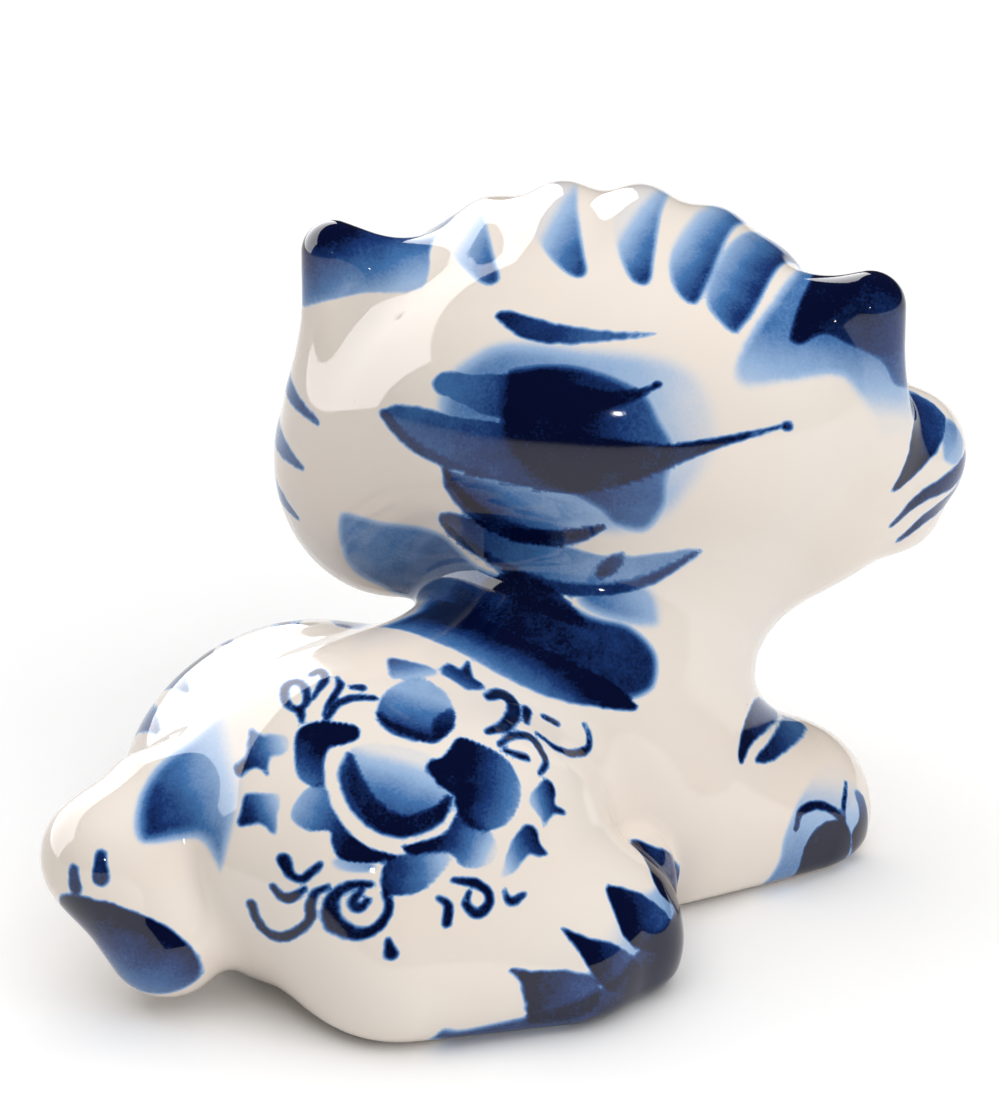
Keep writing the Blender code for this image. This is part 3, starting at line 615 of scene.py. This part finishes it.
def paint_flower(kitten, mirrored):
    """A rose with leaves and scrolls on one haunch."""
    middle, facing, size = HAUNCH_FAR if mirrored else HAUNCH_NEAR
    board = Side(kitten, middle, facing, clay="body", mirrored=mirrored, depth=(-19.0, 20.0), size=size)
    # the petals around the heart, each dark on one side
    for outline, dark, pale, load in (
            ([(-12.9, 17.3), (-11.5, 18.6), (-9.8, 18.8), (-8.2, 18.1), (-7, 17), (-7.7, 15.8), (-9.2, 15.5),
              (-10.6, 15.6), (-11.8, 14.6), (-12.7, 13.2), (-13.4, 12.3), (-14.5, 12.8), (-14.6, 14.4)],
             (-11.2, 15.5), (-15, 15), (1.0, 0.5)),
            ([(-16.9, 11.1), (-15.1, 12.7), (-13.5, 13), (-13.3, 11.9), (-13.9, 10.2), (-13.9, 7.5), (-12.9, 5.4),
              (-11, 3.8), (-12, 3.4), (-13.8, 3.8), (-15.7, 5), (-15.8, 7), (-15.5, 8), (-16.6, 8.5), (-17.2, 9.7)],
             (-13.6, 7), (-17, 10.5), (1.0, 0.3)),
            ([(-10.7, 4.6), (-9.2, 4.6), (-6.2, 4.7), (-4, 6.3), (-2.5, 4.6), (-1.3, 2.9), (-1.3, 0.8), (-3, -0.3),
              (-5.5, 0.5), (-6.5, 2.2), (-8.7, 3), (-10, 3.3)], (-7.5, 4.4), (-3, 0), (1.05, 0.1)),
            ([(-11.8, 3.9), (-13, 2.9), (-13.3, 0.5), (-10.6, -0.5), (-8.2, 0.2), (-6.2, 1.7), (-7.1, 3),
              (-10.3, 3.9)], (-12.6, 1.6), (-6.8, 1.2), (0.9, 0.18)),
            ([(-4.2, 11.6), (-2.5, 11.8), (0.3, 13), (1.9, 11.9), (3.8, 9.6), (4.1, 7.2), (3.2, 5), (0.8, 3.2),
              (-2, 3.1), (-4, 4.4), (-4.4, 6.3), (-4, 7.7), (-4.9, 9.3)], (-1.6, 9.6), (3.6, 5.2), (1.05, 0.35)),
            ([(-4.7, 17.6), (-2.1, 19.3), (1, 19.9), (3.4, 19.4), (4.1, 17.2), (2.4, 14.8), (0.2, 13.5),
              (-2.6, 12.9), (-4.2, 14.5), (-4.9, 16)], (-3.4, 14.2), (0.6, 18.6), (0.85, 0.28))):
        board.patch(outline, dark, pale, load=load, fade=0.35)
    board.line([(-4.4, 17.4), (-4.6, 16.1), (-3.6, 14.6), (-2.4, 13.7)], (0.3, 0.7, 0.8, 0.4), (0.8, 0.6))
    board.line([(-1.7, 13.6), (0.2, 14.5), (2.3, 15.4)], (0.4, 0.9, 0.4), (0.9, 0.6))
    board.patch([(-16.4, 5.6), (-16.4, 4), (-14.1, 2.8), (-12.8, 3.4), (-14.5, 5.4)], dark=(-14, 4.5),
                pale=(-16, 3.6), load=(0.4, 0.12), layer="wash", fade=0.6)
    # the heart, a bowl that is dark below and open above
    board.patch([(-10, 14.6), (-9, 15.2), (-7.4, 15), (-5, 13.6), (-3.5, 11.9), (-3.2, 9.4), (-3.7, 7.4),
                 (-5.7, 5.9), (-8.4, 5.4), (-10.5, 5.8), (-11.9, 7.2), (-12.4, 9.3), (-11.6, 12.2)],
                dark=(-11.5, 7.2), pale=(-6, 12.8), load=(0.85, 0.08))
    board.line([(-9.8, 14.6), (-11.2, 12.4), (-11.7, 9.6), (-11, 7.4), (-9.1, 6.2), (-6.4, 6.4), (-4.4, 7.6)],
               (0.3, 0.9, 1.2, 1.3, 1.1, 0.9, 0.3), (0.75, 0.9))
    board.patch([(-5.2, 10.8), (-3.8, 11.8), (-2.6, 10.8), (-3, 8.4), (-4.2, 8)], dark=(-3.8, 10), pale=(-5, 8),
                load=(1.0, 0.6), fade=0.5)
    # leaves
    for outline, dark, pale, load in (
            ([(0.4, 20.8), (2.1, 22.2), (3.7, 21.3), (5, 20.2), (5.1, 19.2), (2.8, 19.3), (0.6, 20)],
             (2.6, 22), (2.4, 19.4), (0.75, 0.15)),
            ([(5.4, 19.3), (7, 19.9), (7.8, 19), (9.3, 19.5), (8.4, 18), (8.6, 16.6), (6.7, 16.8), (5.9, 18.3)],
             (8.4, 18.8), (5.8, 17.6), (0.98, 0.45)),
            ([(4.7, 5.3), (7.4, 6.1), (8, 4.9), (7.3, 3.5), (8.5, 2.1), (6.5, 2.5), (4.9, 1.6), (4.8, 2.7),
              (4, 4.2)], (7.6, 3.6), (4.2, 3.8), (0.95, 0.2)),
            ([(2.8, 2.5), (3.9, 1.6), (3.7, 0.2), (4.3, -1), (3, -0.8), (2, -0.4), (-0.1, -1.5), (-1.7, -1.6),
              (-0.8, 0.1), (1.1, 1.9)], (3.6, 0), (-1, -0.8), (0.95, 0.15))):
        board.patch(outline, dark, pale, load=load)
    # scrolls, commas and dots
    for path, widths in (
            ([(7.9, 15.5), (9.7, 15.4), (10.4, 14.3), (9.3, 13.2), (6.6, 12.4), (3.9, 12.4)],
             (0.4, 0.6, 0.75, 0.7, 0.6, 0.3)),
            ([(11.4, 13), (9.9, 12)], (0.55, 0.35)),
            ([(13, 11.8), (14.3, 10.7)], (0.3, 0.35)),
            ([(17.6, 9.7), (17.7, 8.3), (16.7, 7.2), (13.5, 7.5), (11.2, 8.8), (10.6, 9.8), (10, 10.6)],
             (0.2, 0.3, 0.4, 0.4, 0.35, 0.3, 0.2)),
            ([(4.1, 10.9), (6.6, 11.2), (8.7, 10.4), (8.8, 8.8), (8.5, 7.6), (6.9, 6.8)],
             (0.25, 0.4, 0.45, 0.5, 0.4, 0.25)),
            ([(4.3, 10.1), (6.3, 8.7)], (0.3, 0.4)),
            ([(-14.1, 1.9), (-15.6, 2.4), (-17, 1.7), (-17.4, 0.1), (-17, -1.4), (-15.7, -2.5), (-14.2, -2.2),
              (-13.1, -0.8), (-13.1, 0.8)], (0.3, 0.45, 0.5, 0.6, 0.65, 0.6, 0.5, 0.4, 0.3)),
            ([(-14.9, 1.6), (-15.7, 0.8), (-15.4, 0), (-14.6, 0.5)], (0.3, 0.4, 0.45, 0.3)),
            ([(-13.9, -3.9), (-13.9, -5.3)], (0.2, 0.6)),
            ([(-8.6, -1.4), (-7.8, -2.5), (-8.3, -4.1)], (0.2, 0.45, 0.5)),
            ([(-6.7, -0.3), (-5.1, -1), (-3.7, -2.2), (-3.7, -3.6), (-5.1, -4.3), (-6, -3), (-5.5, -2)],
             (0.25, 0.45, 0.45, 0.45, 0.5, 0.4, 0.3)),
            ([(-1.8, -3), (-1.4, -4.2), (0.2, -4)], (0.25, 0.45, 0.25))):
        board.line(path, widths, (0.95, 0.95))
    if not mirrored:
        paint_outer_leaves(kitten)
        paint_tendrils(kitten)


def paint_outer_leaves(kitten):
    """Two leaves and some scrolls beside the rose, where the haunch turns towards the tail."""
    board = Side(kitten, (-10.0, -20.0, 8.0), (-0.6, -1.0, 0.3), clay="body",
                 least_facing=0.3, depth=(-12.0, 12.0))
    board.patch([(-9.9, 22.3), (-8.8, 22), (-6.5, 22.1), (-6.4, 20.7), (-8.2, 20), (-8.5, 18.6), (-9.7, 19.2),
                 (-11.3, 18.3), (-11.7, 19), (-10.6, 20), (-10.2, 21.2)], dark=(-10.4, 19.6), pale=(-6.6, 21),
                load=(0.9, 0.15))
    board.patch([(-10.9, 16.7), (-9.8, 16.9), (-7.5, 16.9), (-7.8, 14.8), (-8.1, 13.3), (-9.6, 14.2),
                 (-11.6, 13.8), (-11.2, 15.3)], dark=(-10.6, 14.6), pale=(-7.4, 15.8), load=(0.9, 0.15))
    for path, widths in (
            ([(-7.3, 10.8), (-6.8, 9.7), (-5.8, 9.2), (-4.7, 9.9), (-3.8, 10.8)], (0.75, 0.5, 0.4, 0.4, 0.25)),
            ([(-8.5, 8.2), (-7.6, 7.2), (-6.5, 7.4), (-5.5, 8.2)], (0.3, 0.45, 0.5, 0.25)),
            ([(-10.6, 6.1), (-10.2, 4.7), (-9.3, 3.4), (-7.8, 2.9), (-6, 4), (-4.9, 5.4), (-4.9, 6.5), (-4.4, 7.8),
              (-3.2, 8.6)], (0.45, 0.4, 0.45, 0.5, 0.45, 0.45, 0.5, 0.4, 0.25))):
        board.line(path, widths, (0.95, 0.95))


def paint_tendrils(kitten):
    """A bud and thin tendrils above the rose."""
    board = Side(kitten, (-6.0, -16.0, 26.0), (-0.35, -0.7, 1.0), clay="body",
                 least_facing=0.5, depth=(-10.0, 8.0))
    bud = [(-5.6 + 1.15 * math.cos(turn), 12.0 + 2.0 * math.sin(turn)) for turn in np.arange(0.0, 6.3, 0.78)]
    board.line(bud, 0.4)
    for path, widths in (
            ([(-5.5, 9.8), (-5.5, 8.2)], (0.5, 0.25)),
            ([(-3.7, 14.6), (-2.7, 15), (-2.4, 13.6), (-3.4, 12.1), (-4.1, 11)], (0.25, 0.4, 0.45, 0.35, 0.2)),
            ([(-1.2, 13.6), (-1.1, 12.4), (-1.9, 11), (-2.8, 9.6), (-3.2, 8.5)], (0.25, 0.4, 0.4, 0.35, 0.25)),
            ([(-3.1, 8), (-1.9, 9.7), (0, 10.5), (2.1, 10.3)], (0.35, 0.45, 0.45, 0.35)),
            ([(0, 12), (1, 11.8)], (0.3, 0.5))):
        board.line(path, widths, (0.9, 0.9))


def paint_paw(kitten, mirrored):
    """A leaf of blue on each toe of one hind paw, over a blue sole."""
    board = Side(kitten, (17.0, -24.0, 8.0), (0.35, -1.0, 0.45), mirrored=mirrored, depth=(-9.0, 14.0),
                 least_facing=-0.2, ends_at=31.0)
    board.patch([(-22, -4), (-15, -4), (-10, -1), (-4, 2), (3, 1), (8, 3), (12, 0), (18, -6), (20, -14), (-22, -14)],
                dark=(2, -6), pale=(-3, 2), load=(0.5, 0.02), layer="wash", fade=1.5)
    board.patch([(-22, -4.2), (-19.4, -4.6), (-14, -5.6), (-8.5, -5.5), (-3, -3.6), (2, -3), (6, -1.6), (10, -2),
                 (14, -4), (18, -7), (20, -14), (-22, -14)], dark=(2, -7), pale=(-1, -2.5), load=(1.1, 0.8), fade=0.8)
    for outline, dark, pale in (
            ([(-16.3, -0.2), (-14.5, -1.3), (-11.5, -2.8), (-9, -5), (-9.5, -8), (-14.2, -7), (-15.3, -4), (-15.6, -2)],
             (-15.6, -2.5), (-10.5, -4)),
            ([(-10.6, 1.5), (-9, -0.3), (-6, -2.6), (-3.4, -6), (-5, -8), (-8.6, -6), (-9.8, -3), (-10.3, -0.5)],
             (-9.8, -2), (-5, -4)),
            ([(-3.9, 3), (-1.8, 2), (0.8, -0.3), (2.8, -4), (1, -6), (-3, -4.4), (-4.8, -2.2), (-4.7, 0.8)],
             (-4.2, 0), (1, -1.5)),
            ([(7.4, 4), (9.6, 2.4), (13, 0), (16, -4), (15, -8), (8, -5), (3.6, -2), (3.4, 1)], (5, 0), (13, -1))):
        board.patch(outline, dark, pale, load=(1.05, 0.72))
    board.line([(-16.2, -8.6), (-5, -9.4), (1, -8), (6, -7)], (0.5, 1.0, 1.2, 0.8), (0.6, 0.7), fade=0.8)


def paint_leg(kitten, mirrored):
    """Two leaf strokes over the wrist and a dark print on the toes of one front leg."""
    board = Side(kitten, (50.0, -16.0, 8.0), (0.5, -1.0, 0.35), clay="body", mirrored=mirrored,
                 depth=(-14.0, 10.0))
    board.patch([(-1, 11.4), (-6, 11), (-9.4, 9.2), (-10, 7.6), (-6.1, 8.6), (4.5, 8)], dark=(-8, 9),
                pale=(3, 9), load=(0.98, 0.6))
    board.patch([(3.5, 7.4), (5.8, 5.3), (-0.8, 5.4), (-6, 6), (-7, 7.2)], dark=(-5, 6.5), pale=(4, 6),
                load=(0.9, 0.55))
    board.patch([(-8, -7), (-7.6, -4.5), (-7.2, -1.9), (-4.8, 0.8), (-1, 2.4), (3, 2.5), (5, 0), (6, -5), (5, -10),
                 (-3.6, -10), (-7, -9)], dark=(-5, -6), pale=(0, 2.2), load=(0.42, 0.05), layer="wash", fade=1.0)
    board.patch([(-3.4, -9.6), (-4.4, -5), (-2.2, -3), (1, -4), (1.9, -6.8), (1.2, -10)],
                dark=(-1, -7), pale=(-4, -3), load=(1.15, 0.9))
    board.patch([(4, -1.8), (5.6, -3.5), (5.6, -8.6), (3.2, -9), (1.9, -6), (3.6, -4.6)], dark=(4.6, -6),
                pale=(4, -2), load=(1.0, 0.55))
    board.line([(-5.2, -2), (-4.1, -0.6), (-1.7, -0.9), (0, -2.3), (1, -4.2)], (0.35, 0.5, 0.5, 0.45, 0.3),
               (0.95, 0.95))
    board.line([(3.3, -0.5), (1.6, -2.4), (1, -4)], (0.2, 0.35, 0.3), (0.95, 0.95))


def paint_rump(kitten):
    """A blue shadow over the root of the tail, its tip dipped in blue, and stripes on the back."""
    board = Side(kitten, (-18.0, -3.0, 18.0), (-0.75, -0.45, 0.6), depth=(-30.0, 18.0))
    board.patch([(-1, 15), (-4.4, 10), (-6, 5), (-5.8, 1), (-3.8, -3), (0.8, -1.4), (4.2, -4.2), (5.6, 1),
                 (5.6, 8), (3, 15)], dark=(-5.2, 0), pale=(4, 7), load=(1.0, 0.03), layer="wash", fade=2.2)
    board.line([(-6.6, -4.6), (-6.4, -6.8)], (0.5, 0.8))
    board.line([(-9.2, -6.6), (-9, -8.2)], (0.5, 0.7))
    board.patch([(-11.5, -9.6), (-7, -9), (-4.6, -9.1), (-1.4, -9.6), (1.1, -10.7), (2.6, -12.2), (2.3, -14.2),
                 (1, -16), (-2, -18), (-7, -18), (-12, -15)], dark=(-3, -9.6), pale=(-4, -18), load=(1.05, 0.35))
    withers = Side(kitten, (4.5, -24.0, 17.0), (0.05, -1.0, 0.55), clay="body", depth=(-30.0, 8.0))
    withers.patch([(7, 27), (13.4, 27), (14.5, 22), (18, 17), (22, 12.5), (23.5, 9.5), (19.4, 11), (14.8, 13.6),
                   (11.5, 16.9), (9.2, 20.5), (7.6, 23.5)], dark=(14.5, 20), pale=(9.5, 16.5), load=(1.0, 0.1))
    back = Side(kitten, (-6.0, -16.0, 26.0), (-0.35, -0.7, 1.0), clay="body", least_facing=0.0,
                depth=(-40.0, 8.0))
    for tip, up in ((-3.6, 26.6), (-9.8, 24.6), (-15.2, 19.4), (-18.6, 15.5)):
        back.line([(tip, up), (tip - 0.6, up + 2.5), (tip - 1.2, up + 5), (tip - 1.6, up + 9)],
                  (0.2, 0.9, 1.6, 1.0), (0.8, 0.4))


def painting(points, normals):
    """The layers of paint over the whole kitten, and where its base is bare."""
    kitten = Kitten(points, normals)
    paint_nape(kitten)
    paint_forelock(kitten)
    paint_ears(kitten)
    paint_cheeks(kitten)
    paint_face(kitten)
    paint_rump(kitten)
    for mirrored in (False, True):
        paint_flower(kitten, mirrored)
        paint_paw(kitten, mirrored)
        paint_leg(kitten, mirrored)
    base = (points[:, 2] < GROUND + 0.12) & (normals[:, 2] < -0.9)
    base |= (vent_distance(points) > -0.3) & (points[:, 2] < GROUND + VENT_DEPTH + 0.3)
    return {**kitten.layers, "bare": base.astype(float)}


# ---------------------------------------------------------------- castings
def tilted(place, turn_x=0.0, turn_y=0.0, turn_z=0.0):
    """A frame at a place, turned about X, then Y, then Z, in degrees."""
    turns = Matrix.Rotation(math.radians(turn_z), 4, "Z")
    turns @= Matrix.Rotation(math.radians(turn_y), 4, "Y")
    turns @= Matrix.Rotation(math.radians(turn_x), 4, "X")
    return Matrix.Translation(place) @ turns


def within(points, place, low, high):
    """True for the points inside a box between two corners of a frame."""
    back = np.array(place.inverted())
    local = points @ back[:3, :3].T + back[:3, 3]
    return np.all((local > low) & (local < high), axis=1)


def casting_of(points):
    """Names the casting that each point of the surface belongs to, as the CAD model parts them."""
    head = head_frame()
    still = Matrix.Identity(4)
    on_head = head_distance(points) < body_distance(points)
    names = np.where(on_head, "head_shell", "body_shell").astype("<U20")
    head_boxes = [
        ("left_ear", head @ tilted((-23.8, 5.0, 9.8), turn_y=-49.0), (-13.0, -8.0, 0.0), (8.0, 9.0, 16.0)),
        ("right_ear", head @ tilted((25.0, 5.0, 8.0), turn_y=54.0), (-9.0, -8.0, 0.0), (13.5, 9.0, 16.0)),
        ("forelock", head, (-20.5, -1.5, 5.0), (22.0, 26.0, 32.0)),
        ("muzzle", head, (-12.0, 22.5, -21.0), (14.0, 38.0, 1.0)),
    ]
    body_boxes = [
        ("tail", still, (-40.0, -10.5, -2.0), (-12.0, 12.0, 27.0)),
        ("left_hind_paw", tilted((12.0, 13.0, 0.0), turn_z=17.0), (0.0, 0.0, -2.0), (25.0, 24.0, 11.5)),
        ("right_hind_paw", tilted((12.0, -13.0, 0.0), turn_z=-17.0), (0.0, -24.0, -2.0), (25.0, 0.0, 11.5)),
        ("left_front_leg", still, (44.5, 0.0, -2.0), (70.0, 24.0, 14.0)),
        ("right_front_leg", still, (44.5, -24.0, -2.0), (70.0, 0.0, 14.0)),
    ]
    for boxes, side in ((head_boxes, on_head), (body_boxes, ~on_head)):
        free = side.copy()
        for name, place, low, high in boxes:
            taken = free & within(points, place, np.array(low), np.array(high))
            names[taken] = name
            free &= ~taken
    return names


def rings_of(edges):
    """Sorts boundary edges into closed rings, each a list of edges."""
    following = {}
    for start, end in edges:
        following.setdefault(start, []).append(end)
    rings = []
    while following:
        start = next(iter(following))
        ring = []
        here = start
        while here in following:
            onward = following[here].pop()
            if not following[here]:
                del following[here]
            ring.append((here, onward))
            here = onward
        rings.append(ring)
    return rings


def plugged(points, normals, faces):
    """Closes a casting's open rings with a cone of clay that runs inwards, out of sight."""
    count = {}
    for face in faces:
        for start, end in zip(face, np.roll(face, -1)):
            count[(start, end)] = count.get((start, end), 0) + 1
    open_edges = [edge for edge in count if (edge[1], edge[0]) not in count]
    plugs = []
    inner = []
    for ring in rings_of(open_edges):
        rim = [edge[0] for edge in ring]
        deep = points[rim] - PLUG_DEPTH * normals[rim]
        first = len(points) + len(inner)
        tip = first + len(rim)
        inner += [*deep, deep.mean(axis=0)]
        for place, (start, end) in enumerate(ring):
            here = first + place
            onward = first + (place + 1) % len(ring)
            plugs += [(end, start, here, onward), (onward, here, tip)]
    return np.array(inner).reshape(-1, 3), plugs


def as_piece(name, mesh_data, layers):
    """One casting as an object in metres, with its paint layers on its points."""
    points, normals, faces = mesh_data
    tips, plugs = plugged(points, normals, faces)
    to_metres = (np.vstack([points, tips]) - np.array(ORIGIN)) * MM
    mesh = bpy.data.meshes.new(name + "_skin")
    mesh.from_pydata(to_metres.tolist(), [], faces.tolist() + plugs)
    mesh.validate()
    mesh.shade_smooth()
    all_normals = np.vstack([normals, np.tile((0.0, 0.0, 1.0), (len(tips), 1))])
    mesh.normals_split_custom_set_from_vertices(all_normals.tolist())
    for layer, values in layers.items():
        attribute = mesh.attributes.new(layer, "FLOAT", "POINT")
        attribute.data.foreach_set("value", np.append(values, np.zeros(len(tips))).astype(np.float32))
    thing = bpy.data.objects.new(name + "_glazed", mesh)
    bpy.context.scene.collection.objects.link(thing)
    return thing


def part_out(points, normals, faces, layers):
    """Parts the fine skin into its castings."""
    names = casting_of(points[faces].mean(axis=1))
    pieces = {}
    for name in sorted(set(names)):
        chosen = faces[names == name]
        used, local = np.unique(chosen, return_inverse=True)
        mesh_data = (points[used], normals[used], local.reshape(-1, 4))
        pieces[name] = as_piece(name, mesh_data, {key: values[used] for key, values in layers.items()})
    return pieces


# ---------------------------------------------------------------- glaze
class Nodes:
    """A short way to write a node tree."""

    def __init__(self, tree):
        self.tree = tree

    def add(self, kind, **settings):
        node = self.tree.nodes.new("ShaderNode" + kind)
        for name, value in settings.items():
            setattr(node, name, value)
        return node

    def feed(self, socket, value):
        if isinstance(value, bpy.types.NodeSocket):
            self.tree.links.new(value, socket)
        else:
            socket.default_value = value

    def math(self, operation, *values, clamp=False):
        node = self.add("Math", operation=operation, use_clamp=clamp)
        for socket, value in zip(node.inputs, values):
            self.feed(socket, value)
        return node.outputs[0]

    def noise(self, where, scale, detail=2.0, roughness=0.5):
        node = self.add("TexNoise")
        self.feed(node.inputs["Vector"], where)
        node.inputs["Scale"].default_value = scale
        node.inputs["Detail"].default_value = detail
        node.inputs["Roughness"].default_value = roughness
        return node.outputs["Fac"]

    def smooth_step(self, value, low, high):
        node = self.add("MapRange", interpolation_type="SMOOTHSTEP")
        for name, setting in (("Value", value), ("From Min", low), ("From Max", high)):
            self.feed(node.inputs[name], setting)
        return node.outputs["Result"]

    def ramp(self, value, stops):
        node = self.add("ValToRGB")
        elements = node.color_ramp.elements
        while len(elements) < len(stops):
            elements.new(0.5)
        for element, (place, colour) in zip(elements, stops):
            element.position = place
            element.color = (*colour, 1.0)
        self.feed(node.inputs["Fac"], value)
        return node.outputs["Color"]

    def mix(self, amount, first, second):
        node = self.add("Mix", data_type="RGBA")
        self.feed(node.inputs["Factor"], amount)
        self.feed(node.inputs["A"], first)
        self.feed(node.inputs["B"], second)
        return node.outputs["Result"]

    def attribute(self, name):
        return self.add("Attribute", attribute_name=name).outputs["Fac"]


def painted_glaze(name):
    """White porcelain with cobalt under a clear glaze; the base is bare biscuit."""
    material = bpy.data.materials.new(name)
    material.use_nodes = True
    nodes = Nodes(material.node_tree)
    shader = material.node_tree.nodes["Principled BSDF"]
    where = nodes.add("TexCoord").outputs["Object"]

    grain = nodes.noise(where, PER_MM * 3.0, detail=3.0)
    cloud = nodes.noise(where, PER_MM * 0.35, detail=3.0)
    brush = nodes.noise(where, PER_MM * 0.9, detail=1.0)
    wander = nodes.math("MULTIPLY", nodes.math("SUBTRACT", brush, 0.5), EDGE_WANDER)
    pigment = None
    for layer, feather in LAYER_FEATHER.items():
        edge = nodes.math("ADD", nodes.attribute(layer + "_edge"), wander)
        covered = nodes.smooth_step(edge, -feather, feather)
        load = nodes.math("MULTIPLY", covered, nodes.attribute(layer + "_load"))
        pigment = load if pigment is None else nodes.math("MAXIMUM", pigment, load)
    mottle = nodes.math("MULTIPLY_ADD", nodes.math("SUBTRACT", grain, 0.5), 0.30, 1.0)
    pooling = nodes.math("MULTIPLY_ADD", nodes.math("SUBTRACT", cloud, 0.5), 0.35, 1.0)
    pigment = nodes.math("MULTIPLY", nodes.math("MULTIPLY", pigment, mottle), pooling)

    tone = nodes.noise(where, PER_MM * 0.05, detail=2.0)
    clay = nodes.ramp(tone, [(0.3, PORCELAIN_COOL), (0.7, PORCELAIN_WARM)])
    tint = nodes.ramp(pigment, COBALT_STOPS)
    strength = nodes.smooth_step(pigment, 0.0, 0.22)
    colour = nodes.mix(strength, clay, tint)

    cells = nodes.add("TexVoronoi", distance="EUCLIDEAN")
    nodes.feed(cells.inputs["Vector"], where)
    cells.inputs["Scale"].default_value = PER_MM / PINHOLE_SPACING
    near = nodes.math("MULTIPLY", cells.outputs["Distance"], PINHOLE_SPACING)
    size = nodes.math("MULTIPLY_ADD", cells.outputs["Color"], PINHOLE_RADIUS * 1.6, -0.6 * PINHOLE_RADIUS)
    hole = nodes.math("LESS_THAN", near, size)
    colour = nodes.mix(nodes.math("MULTIPLY", hole, 0.65), colour, (0.05, 0.045, 0.06, 1.0))

    bare = nodes.attribute("bare")
    biscuit = nodes.ramp(grain, [(0.3, (0.60, 0.55, 0.49)), (0.7, (0.74, 0.70, 0.64))])
    colour = nodes.mix(bare, colour, biscuit)
    nodes.feed(shader.inputs["Base Color"], colour)

    shine = nodes.math("MULTIPLY_ADD", cloud, 0.03, GLAZE_ROUGHNESS)
    rough = nodes.math("MAXIMUM", nodes.math("MULTIPLY", bare, 0.75), shine)
    nodes.feed(shader.inputs["Roughness"], rough)
    shader.inputs["IOR"].default_value = 1.52

    ripple = nodes.noise(where, PER_MM * 0.16, detail=1.0)
    skin = nodes.math("MULTIPLY_ADD", grain, 0.04, ripple)
    pit = nodes.math("MULTIPLY", hole, -1.5)
    height = nodes.math("ADD", nodes.math("ADD", skin, pit), nodes.math("MULTIPLY", nodes.math("MULTIPLY", bare, grain), 3.0))
    bump = nodes.add("Bump")
    nodes.feed(bump.inputs["Height"], height)
    bump.inputs["Distance"].default_value = 0.06 * MM
    bump.inputs["Strength"].default_value = 1.0
    nodes.feed(shader.inputs["Normal"], bump.outputs["Normal"])
    return material


# ---------------------------------------------------------------- studio
def floor():
    bpy.ops.mesh.primitive_plane_add(size=12.0, location=(0.0, 0.0, 0.0))
    plane = bpy.context.object
    plane.name = "floor"
    material = bpy.data.materials.new("paper")
    material.use_nodes = True
    shader = material.node_tree.nodes["Principled BSDF"]
    shader.inputs["Base Color"].default_value = (0.95, 0.95, 0.95, 1.0)
    shader.inputs["Roughness"].default_value = 0.9
    shader.inputs["Specular IOR Level"].default_value = 0.1
    plane.data.materials.append(material)


def softbox(name, azimuth, elevation, distance, size, radiance, seen=True, lights=True):
    """A rectangular lamp that faces the kitten from a direction; azimuth 0 is from -Y."""
    turn = math.radians(azimuth)
    rise = math.radians(elevation)
    away = Vector((math.sin(turn) * math.cos(rise), -math.cos(turn) * math.cos(rise), math.sin(rise)))
    lamp = bpy.data.lights.new(name, "AREA")
    lamp.shape = "RECTANGLE"
    lamp.size, lamp.size_y = size
    lamp.energy = radiance * math.pi * size[0] * size[1]
    thing = bpy.data.objects.new(name, lamp)
    bpy.context.scene.collection.objects.link(thing)
    thing.location = away * distance + Vector((0.0, 0.0, 0.035))
    thing.rotation_euler = away.to_track_quat("Z", "Y").to_euler()
    thing.visible_camera = False
    thing.visible_glossy = seen
    thing.visible_diffuse = lights
    return thing


def light_room(strength):
    world = bpy.data.worlds.new("room")
    world.use_nodes = True
    background = world.node_tree.nodes["Background"]
    background.inputs["Color"].default_value = (1.0, 1.0, 1.0, 1.0)
    background.inputs["Strength"].default_value = strength
    bpy.context.scene.world = world


def camera():
    """A long lens behind and to the right of the kitten, a little above it."""
    turn = math.radians(VIEW_AZIMUTH)
    rise = math.radians(VIEW_ELEVATION)
    away = Vector((math.sin(turn) * math.cos(rise), -math.cos(turn) * math.cos(rise), math.sin(rise)))
    data = bpy.data.cameras.new("camera")
    data.sensor_fit = "HORIZONTAL"
    data.sensor_width = 36.0
    data.lens = 36.0 * VIEW_DISTANCE / VIEW_WIDTH
    data.clip_start = 0.01
    thing = bpy.data.objects.new("camera", data)
    bpy.context.scene.collection.objects.link(thing)
    target = (VIEW_TARGET - ORIGIN) * MM
    thing.location = target + away * VIEW_DISTANCE * MM
    thing.rotation_euler = away.to_track_quat("Z", "Y").to_euler()
    bpy.context.scene.camera = thing


# ---------------------------------------------------------------- assembly
def build():
    points, normals, faces = fine_skin()
    layers = painting(points, normals)
    pieces = part_out(points, normals, faces, layers)
    slots = {part["node"]: part["material_slot"] for part in frame["record"]["subparts"]}
    glazes = {slot: painted_glaze(slot) for slot in sorted(set(slots.values()))}
    for name, piece in pieces.items():
        piece.data.materials.append(glazes[slots[name]])
        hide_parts(name)
        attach(piece, "root")
    floor()
    light_room(ROOM_LIGHT)
    softbox("backdrop", 193.0, 21.0, 0.75, (1.6, 0.8), 4.5, lights=False)
    softbox("rim", 193.0, 21.0, 0.75, (1.6, 0.8), 1.2, seen=False)
    softbox("ceiling", 160.0, 82.0, 0.90, (1.4, 1.4), 1.9, seen=False)
    softbox("fill", 5.0, 35.0, 1.5, (1.6, 1.4), 2.0, seen=False)
    softbox("front", -38.0, 20.0, 1.2, (0.05, 0.05), 40.0)
    bpy.context.scene.view_settings.view_transform = "Standard"
    camera()


build()
